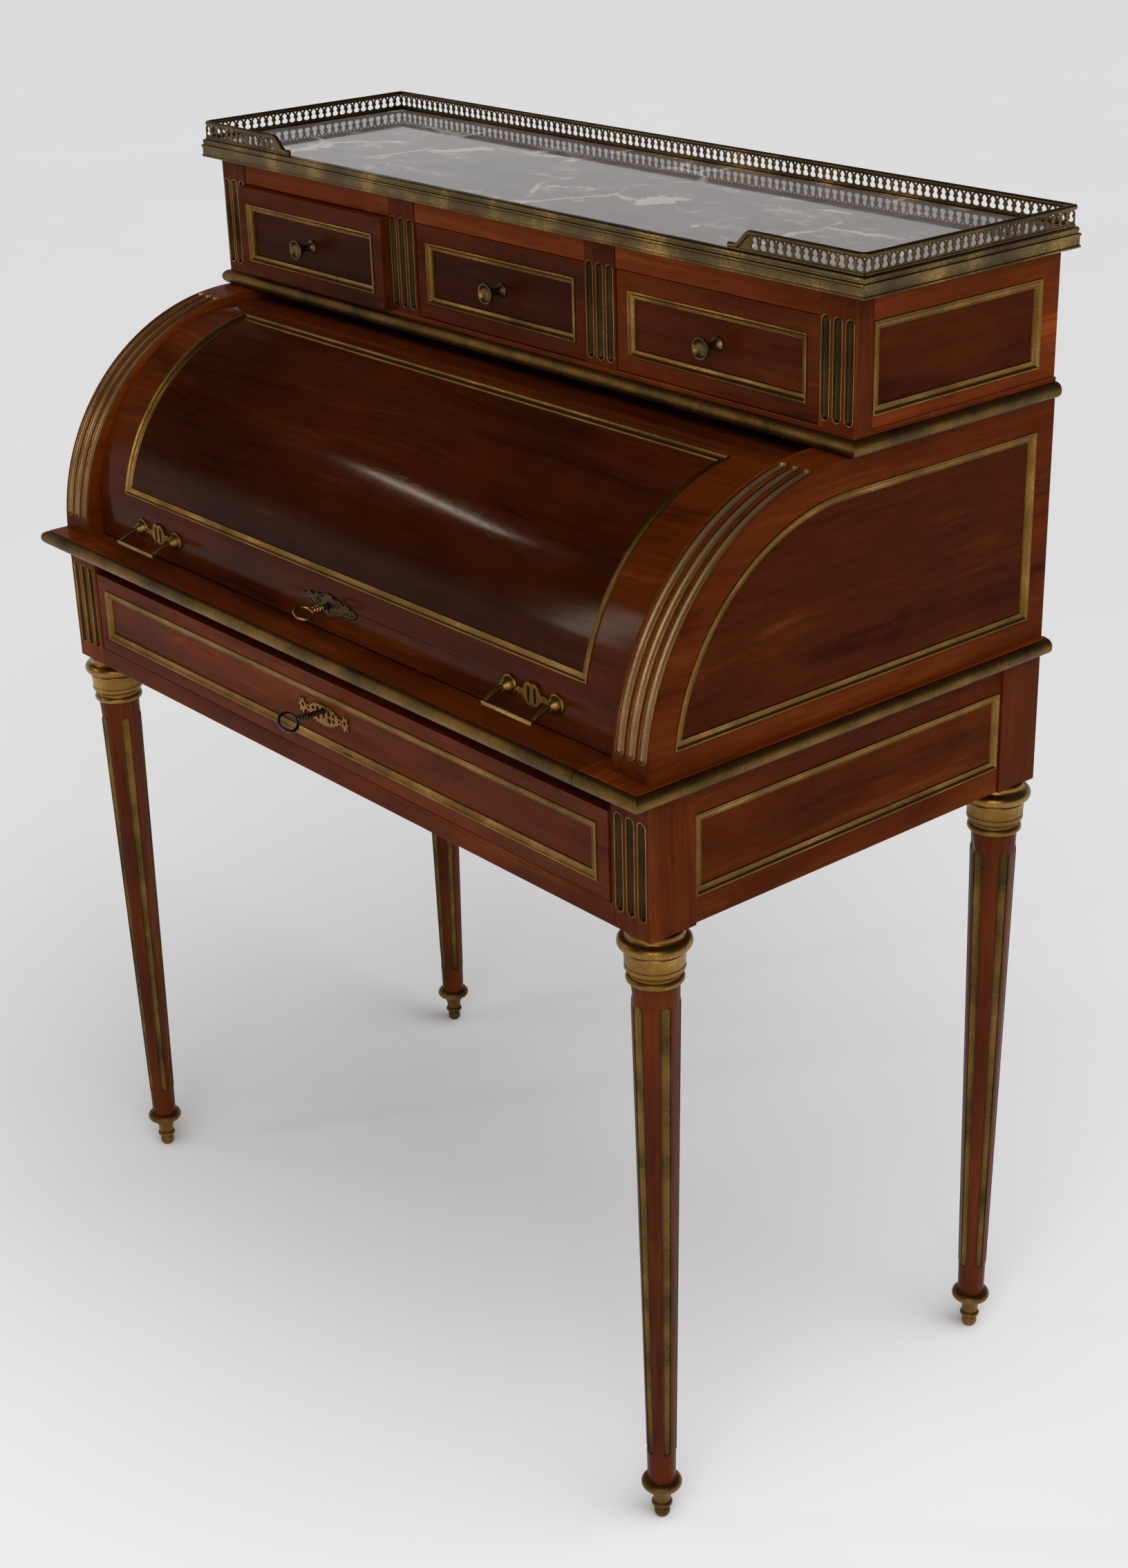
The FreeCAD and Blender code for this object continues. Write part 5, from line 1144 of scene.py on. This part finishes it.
class DESK_OT_leg_brass(bpy.types.Operator):
    """Turned collars and feet of the legs"""

    bl_idname = "desk.leg_brass"
    bl_label = "Collars and feet"

    collar = ((20.8, 0), *bulge(21.5, 3.4, 3.4, -90, 80), (22.0, 7.0), (22.3, 8.6), (23.0, 10.4),
              (24.2, 11.9), (25.6, 12.5), (25.9, 13.2), (25.8, 16.2), (25.2, 16.7), (25.2, 17.3),
              (25.7, 17.8), (25.9, 23), (26.3, 27.4), (26.9, 28.6), (27.2, 29.6), (26.8, 30.6),
              (26.0, 31.2), *bulge(26.5, 37, 5.38, -90, 90), (25.6, 42.8), (24.6, 44), (24.1, 46),
              (24.4, 48), (25.2, 49.5))
    foot = ((0, 0), (4.0, 0), *bulge(0, 6, 7.4, -48, 46), (4.9, 11.9), (5.3, 12.4),
            *bulge(6.9, 15, 2.7, -60, 70), (8.0, 17.9), (7.8, 20), (8.3, 24), (9.6, 28.4),
            (11.6, 32), (13.0, 33.9), *bulge(14, 38.4, 4.6, -80, 95), (13.2, 43.2), (12.6, 43.0),
            (0, 43.0))
    ankle = ((0, 43), (12.7, 42.6), (12.8, 47), (13, 52), (0, 52))
    steps = 40

    def execute(self, context):
        collars, feet, ankles = bmesh.new(), bmesh.new(), bmesh.new()
        for low, high in islands("legs"):
            x, y = (low.x + high.x) / 2, (low.y + high.y) / 2
            merge(collars, turned(self.collar, self.steps), at(x, y, high.z))
            merge(feet, turned(self.foot, self.steps), at(x, y, 0))
            merge(ankles, turned(self.ankle, self.steps), at(x, y, 0))
        golden = (brass("golden_brass"),)
        publish("leg_collar_rings", collars, golden, "case", "brass", "leg_collars")
        publish("leg_feet", feet, (brass("foot_brass"),), "case", "brass", "leg_sabots")
        publish("leg_ankles", ankles, (leg_wood(),), "case", "mahogany")
        return {"FINISHED"}


class DESK_OT_knobs(bpy.types.Operator):
    """Dished knobs of the small drawers"""

    bl_idname = "desk.knobs"
    bl_label = "Drawer knobs"

    outline = ((7.0, 0), (7.0, 1.2), (6.4, 1.9), (4.6, 2.8), (3.6, 4.6), (3.2, 7.5), (3.4, 10.2),
               (4.6, 12.6), (7.0, 15.6), (9.1, 18.0), (9.75, 19.2), (9.8, 20.1), (9.4, 20.8),
               (8.8, 21), (8.2, 20.8), (7.7, 20.2), (7.0, 19.2), (5.2, 17.9), (2.6, 17.1),
               (0, 16.9))
    steps = 40

    def execute(self, context):
        for drawer in ("drawer_left", "drawer_centre", "drawer_right"):
            low, high = span(f"{drawer}_knob")
            seat = at((low.x + high.x) / 2, high.y, (low.z + high.z) / 2)
            bm = placed(turned(self.outline, self.steps), seat @ FORWARD)
            finish = (brass("aged_brass"),)
            publish(f"{drawer}_knob_dished", bm, finish, drawer, "brass", f"{drawer}_knob")
        return {"FINISHED"}


class DESK_OT_handles(bpy.types.Operator):
    """Bail handles of the cylinder"""

    bl_idname = "desk.handles"
    bl_label = "Cylinder handles"

    boss = ((9.5, 0), (9.5, 0.8), (9.0, 1.5), (8.0, 1.9), (7.7, 2.6), (7.2, 4.2), (6.0, 6.2),
            (4.4, 7.8), (3.4, 9.4), (0, 9.8))
    lyre = ((0, 9.2), (2.6, 10.8), (6, 10.2), (9, 7.4), (10.8, 3.8), (13, 2.4), (16, 3.4),
            (18.6, 2.6), (20.4, 0.4), (22.5, 1.2), (24, 1.2), (24, -1.4), (20, -2.6), (16, -3.0),
            (12.6, -3.6), (10.2, -6.4), (7.2, -9.2), (3.6, -10.8), (0, -11))
    # Holes of the plate and how far to each side they are
    holes = (
        (4.2, ((-1.3, -6.4), (0, -7.6), (1.3, -6.4), (1.3, 5.6), (0, 6.8), (-1.3, 5.6))),
        (16, ((-0.9, 0), (0, -0.9), (0.9, 0), (0, 0.9))),
    )
    plate_thickness, edge = 2.4, 0.5
    drop, reach, spacing, rise = 8, 28, 61, 11
    # An arm starts so far from the plate, with this radius, and loses so much of it
    arm_start, arm_radius, arm_loss, arm_steps = 7.5, 3.1, 1.4, 8
    bar_half = 2

    def execute(self, context):
        front = span("cylinder_handles")[1].y
        bm = bmesh.new()
        for low, high in islands("cylinder_handles"):
            middle = (low.x + high.x) / 2
            merge(bm, self.handle(), at(middle, front, high.z - self.rise))
        finish = (brass("golden_brass"),)
        publish("cylinder_handle_bails", bm, finish, "cylinder", "brass", "cylinder_handles")
        return {"FINISHED"}

    def handle(self):
        bm = bmesh.new()
        half, thick = self.spacing / 2, self.bar_half
        holes = [[(side * away + x, z) for x, z in hole]
                 for away, hole in self.holes for side in (-1, 1)]
        outline = both_sides(list(self.lyre))
        merge(bm, plate([outline, *holes], self.plate_thickness, self.edge))
        arm = []
        for step in range(self.arm_steps + 1):
            share = step / self.arm_steps
            out = self.arm_start + (self.reach - self.arm_start) * share
            radius = self.arm_radius - self.arm_loss * share**0.7
            arm.append(((0, -out, -self.drop * share**1.7), radius))
        for side in (-1, 1):
            merge(bm, turned(self.boss), at(side * half, 0, 0) @ FORWARD)
            merge(bm, tube(arm), at(side * half, 0, 0))
        bar = block((-half - thick, -thick, -thick), (half + thick, thick, thick), self.edge)
        merge(bm, bar, at(0, -self.reach, -self.drop))
        return bm


class DESK_OT_escutcheons(bpy.types.Operator):
    """Keyhole plates of cylinder and frieze drawer"""

    bl_idname = "desk.escutcheons"
    bl_label = "Keyhole plates"

    leafy = ((0, 11.4), (5.5, 10.8), (9.6, 8.8), (12.6, 8.0), (16.5, 8.8), (20, 7.6), (22.2, 5.0),
             (25.2, 6.6), (28.6, 7.6), (31.6, 6.4), (33.6, 3.8), (36.4, 4.6), (39.4, 4.4),
             (41.6, 2.2), (42, -0.4), (40.2, -3), (36.6, -4.6), (33.4, -3.6), (30.8, -6.2),
             (27.2, -7.4), (23.8, -6), (21.6, -4.6), (18, -7.4), (13.6, -8.6), (9.4, -8.8),
             (5, -10.8), (0, -12.2))
    forked = ((0, 8.0), (2.2, 10.0), (4.4, 8.2), (7.6, 10.1), (9.2, 8.2), (12.4, 9.8), (13.6, 7.2),
              (17.2, 8.2), (17.8, 5.2), (21.8, 5.8), (22.0, 2.8), (25.4, 3.6), (27.4, 2.0),
              (30.2, 4.6), (32.6, 8.8), (34.4, 5.6), (38.2, 7.6), (36.6, 3.2), (40.2, 0.4),
              (36.8, -1.6), (38.6, -6.8), (34.8, -4.4), (32.4, -8.4), (30.6, -3.8), (27.2, -2.0),
              (25, -3.6), (21.6, -2.9), (21.2, -6.2), (17.2, -5.4), (16.4, -9.0), (13, -7.6),
              (11.4, -10.8), (8.6, -8.4), (6.4, -11), (3.8, -9.4), (2.0, -11.1), (0, -10.4))
    windows = (
        ((6.2, 4.6), (9.4, 6.6), (11.8, 3.6), (9.6, 0.6), (6.8, 1.2)),
        ((6.6, -1.6), (9.8, -0.8), (11.6, -3.6), (8.8, -6.4), (6.2, -4.6)),
        ((13.2, 4.0), (16.2, 5.0), (18.6, 2.4), (15.8, 0.4)),
        ((13.2, -1.2), (16.8, -0.6), (18.4, -2.4), (15, -4.6)),
        ((22.4, 1.2), (25.4, 1.8), (26.2, -0.4), (23.4, -1.4)),
        ((31.0, 2.2), (34, 3.6), (35.2, 0.6), (32, -1.4)),
    )
    # Place, width and height of the leaves; line and thickness of the scroll
    leaves = ((37.4, 1.6, 6.4, 3.2), (38.2, -1.4, 5.2, 3.6), (34.4, 0.2, 3, 4.6), (28, 1.8, 6, 7.4),
              (25.6, -3.2, 5, 4.4), (15.6, -4.6, 6.6, 3.8))
    scroll = ((6, 9, 0.7), (10, 6.6, 0.9), (14, 6.4, 1.0), (16.6, 4, 1.0), (15, 1.4, 0.9),
              (12, 1.8, 0.8), (12.4, 3.6, 0.6))
    # Thickness and rounded edge of the plates; heights and seats of what stands on them
    leafy_size, forked_size = (1.6, 0.5), (1.8, 0.35)
    leaf_height, leaf_seat, scroll_seat = 1.7, 1.2, 1.7
    stud, stud_height, stud_place, stud_seat = 2.4, 1.2, 28.6, 1.6
    forked_key = 4
    keyhole_radius, slit_half, slit_depth = 3.4, 1.4, 7

    def execute(self, context):
        bm = self.leafy_plate()
        finish = (brass("cast_bronze"),)
        publish("cylinder_escutcheon_leafy", bm, finish, "cylinder", "brass", "cylinder_escutcheon")
        bm = self.forked_plate()
        finish = (brass("golden_brass"),)
        publish("frieze_escutcheon_forked", bm, finish, "frieze_drawer", "brass",
                "frieze_escutcheon")
        return {"FINISHED"}

    def leafy_plate(self):
        low, high = span("cylinder_escutcheon")
        middle = (low.z + high.z) / 2
        outline = both_sides(list(self.leafy))
        bm = plate([outline, self.keyhole(0)], *self.leafy_size)
        placed(bm, at(0, high.y, middle))
        for side in (-1, 1):
            for x, z, width, height in self.leaves:
                leaf = dome(width, height, self.leaf_height)
                merge(bm, leaf, at(side * x, high.y - self.leaf_seat, middle + z))
            scroll = tube([((side * x, 0, z), wire) for x, z, wire in self.scroll], 8)
            merge(bm, scroll, at(0, high.y - self.scroll_seat, middle))
        return bm

    def forked_plate(self):
        low, high = span("frieze_escutcheon")
        middle = (low.z + high.z) / 2
        outline = both_sides(list(self.forked))
        windows = [[(side * x, z) for x, z in window]
                   for window in self.windows for side in (-1, 1)]
        bm = plate([outline, self.keyhole(self.forked_key), *windows], *self.forked_size)
        placed(bm, at(0, high.y, middle))
        for side in (-1, 1):
            stud = dome(self.stud, self.stud, self.stud_height)
            merge(bm, stud, at(side * self.stud_place, high.y - self.stud_seat, middle))
        return bm

    def keyhole(self, z):
        half, foot = self.slit_half, z - self.slit_depth
        return [*bulge(0, z, self.keyhole_radius, -60, 240, 10), (-half, foot), (half, foot)]


class DESK_OT_keys(bpy.types.Operator):
    """Keys with ring bows and ringed collars"""

    bl_idname = "desk.keys"
    bl_label = "Keys"

    wire = 1.6
    collar = ((2.4, 0), *bulge(2.2, 1.6, 1.5, -80, 80, 5), *bulge(2.2, 4.6, 1.5, -80, 80, 5),
              *bulge(2.2, 7.6, 1.5, -80, 80, 5), *bulge(2.2, 10.2, 1.2, -80, 80, 5), (2.4, 11.4))
    steps = 20
    # Radius of the stem, and its stations behind the bow
    stem, stations = 2.5, (1, 12)

    def execute(self, context):
        for name, slot, tilt, radius, metals in (
            ("cylinder_key", "brass", 22, 9, (brass("rubbed_brass"), iron())),
            ("frieze_key", "iron", 45, 9.4, (iron(), iron())),
        ):
            low, high = span(name)
            height, bow = (low.z + high.z) / 2, low.y + radius + self.wire
            back = bow + radius
            lean = Matrix.Rotation(math.radians(tilt), 4, "Y")
            bm = placed(ring(radius, self.wire), at(0, bow, height) @ lean)
            collar = turned(self.collar, self.steps)
            merge(bm, collar, at(0, back, height) @ FORWARD.inverted())
            places = [*[back + station for station in self.stations], high.y]
            stem = tube([((0, y, height), self.stem) for y in places], self.steps)
            for face in stem.faces:
                face.material_index = 1
            merge(bm, stem)
            publish(f"{name}_turned", bm, metals, name, slot, name)
        return {"FINISHED"}


class DESK_OT_stage(bpy.types.Operator):
    """Floor, lamps, room and camera"""

    bl_idname = "desk.stage"
    bl_label = "Studio"

    warm, plain = (1.0, 0.88, 0.72), (1.0, 1.0, 1.0)
    floor_radius, floor_stain, stain_share = 40, (0.6, 0.6, 0.62), 0.06
    aim = Vector((0, 0, 0.75))
    # Place, width and height, power and colour of the softboxes
    softboxes = {
        "left_softbox": ((-1.57, -1.04, 2.0), (0.34, 0.05), 2.0, warm),
        "front_strip": ((-1.17, -1.6, 1.42), (0.08, 0.6), 2.2, warm),
        "right_softbox": ((1.9, -1.9, 1.9), (1.8, 1.8), 20, plain),
    }
    fill_place, fill_power, fill_angle = (1.7, -0.35, 3.6), 2.9, math.radians(80)

    def execute(self, context):
        setup = context.scene.desk_stage
        self.lay_floor(setup)
        self.light_room(context, setup)
        self.hang_lamps(context)
        self.place_camera(context, setup)
        context.scene.view_settings.view_transform = "Standard"
        return {"FINISHED"}

    def lay_floor(self, setup):
        bm = bmesh.new()
        bmesh.ops.create_circle(bm, cap_ends=True, radius=self.floor_radius, segments=64)
        mesh = bpy.data.meshes.new("floor")
        bm.to_mesh(mesh)
        bm.free()
        floor = bpy.data.objects.new("floor", mesh)
        bpy.context.scene.collection.objects.link(floor)
        material, tree, shader = new_material("pale_floor")
        patches = noise(tree, own_coordinates(tree), 1.2, 2)
        stain = spread(tree, patches, 0.3, 0.7, 0, self.stain_share)
        tint = mixed(tree, stain, setup.floor, self.floor_stain)
        tree.links.new(tint, shader.inputs["Base Color"])
        shader.inputs["Roughness"].default_value = 0.9
        shader.inputs["Specular IOR Level"].default_value = 0.1
        mesh.materials.append(material)

    def light_room(self, context, setup):
        world = bpy.data.worlds.new("studio")
        context.scene.world = world
        world.use_nodes = True
        tree = world.node_tree
        heading = add(tree, "ShaderNodeTexCoord").outputs["Generated"]
        up = add(tree, "ShaderNodeSeparateXYZ", Vector=heading).outputs[2]
        turn = setup.camera_azimuth
        behind = add(tree, "ShaderNodeVectorMath", {"operation": "DOT_PRODUCT"},
                     (heading, (-math.sin(turn), math.cos(turn), 0))).outputs["Value"]
        sky = mixed(tree, spread(tree, up, 0.1, 0.5), setup.horizon, setup.ceiling)
        sheet = arithmetic(tree, "MULTIPLY", spread(tree, behind, 0.3, 0.6),
                           spread(tree, up, 0.46, 0.34))
        seen = add(tree, "ShaderNodeLightPath").outputs
        mirrored = arithmetic(tree, "ADD", seen["Is Glossy Ray"], seen["Is Transmission Ray"])
        looks = arithmetic(tree, "ADD", seen["Is Camera Ray"], mirrored)
        wall = arithmetic(tree, "MULTIPLY", looks, spread(tree, up, 0.22, 0.08))
        room = mixed(tree, wall, mixed(tree, sheet, sky, setup.backdrop), setup.wall)
        tree.links.new(room, tree.nodes["Background"].inputs["Color"])
        tree.nodes["Background"].inputs["Strength"].default_value = 1.0

    def hang_lamps(self, context):
        for name, (spot, (width, height), power, colour) in self.softboxes.items():
            data = bpy.data.lights.new(name, "AREA")
            data.shape = "RECTANGLE"
            data.size, data.size_y = width, height
            data.energy = power
            data.color = colour
            self.hang(context, data, spot)
        data = bpy.data.lights.new("ceiling_fill", "SUN")
        data.energy = self.fill_power
        data.angle = self.fill_angle
        self.hang(context, data, self.fill_place).visible_glossy = False

    def hang(self, context, data, spot):
        lamp = bpy.data.objects.new(data.name, data)
        lamp.location = spot
        lamp.rotation_euler = (self.aim - Vector(spot)).to_track_quat("-Z", "Y").to_euler()
        context.scene.collection.objects.link(lamp)
        return lamp

    def place_camera(self, context, setup):
        turn, tilt, roll = setup.camera_azimuth, setup.camera_elevation, setup.camera_roll
        level = math.cos(tilt)
        ahead = Vector((-math.sin(turn) * level, math.cos(turn) * level, -math.sin(tilt)))
        right = Vector((math.cos(turn), math.sin(turn), 0))
        upright = Matrix((right, right.cross(ahead), -ahead)).transposed()
        data = bpy.data.cameras.new("camera")
        data.lens = setup.lens
        data.sensor_width = 36
        camera = bpy.data.objects.new("camera", data)
        facing = (upright @ Matrix.Rotation(roll, 3, "Z")).to_4x4()
        camera.matrix_world = Matrix.Translation(setup.camera_place) @ facing
        context.scene.collection.objects.link(camera)
        context.scene.camera = camera


OPERATORS = (
    DESK_OT_woodwork, DESK_OT_inner_boards, DESK_OT_slab, DESK_OT_ironwork, DESK_OT_flutes,
    DESK_OT_frames, DESK_OT_mouldings, DESK_OT_gallery, DESK_OT_leg_brass, DESK_OT_knobs,
    DESK_OT_handles, DESK_OT_escutcheons, DESK_OT_keys, DESK_OT_stage,
)
GROUPS = {
    "desk_wood": DeskWood, "desk_brass": DeskBrass, "desk_marble": DeskMarble,
    "desk_flutes": DeskFlutes, "desk_frames": DeskFrames, "desk_gallery": DeskGallery,
    "desk_stage": DeskStage,
}


class DESK_PT_panel(bpy.types.Panel):
    """Buttons and values of the desk"""

    bl_label = "Cylinder desk"
    bl_idname = "DESK_PT_panel"
    bl_space_type = "VIEW_3D"
    bl_region_type = "UI"
    bl_category = "Desk"

    def draw(self, context):
        for operator in OPERATORS:
            self.layout.operator(operator.bl_idname)
        for name, kind in GROUPS.items():
            box = self.layout.box()
            box.label(text=kind.__doc__)
            for key in kind.__annotations__:
                box.prop(getattr(context.scene, name), key)


def register():
    for kind in (*GROUPS.values(), *OPERATORS, DESK_PT_panel):
        bpy.utils.register_class(kind)
    for name, kind in GROUPS.items():
        setattr(bpy.types.Scene, name, PointerProperty(type=kind))


def unregister():
    for name in GROUPS:
        delattr(bpy.types.Scene, name)
    for kind in reversed((*GROUPS.values(), *OPERATORS, DESK_PT_panel)):
        bpy.utils.unregister_class(kind)


def main():
    register()
    for operator in OPERATORS:
        family, action = operator.bl_idname.split(".")
        getattr(getattr(bpy.ops, family), action)()


if __name__ == "__main__":
    main()
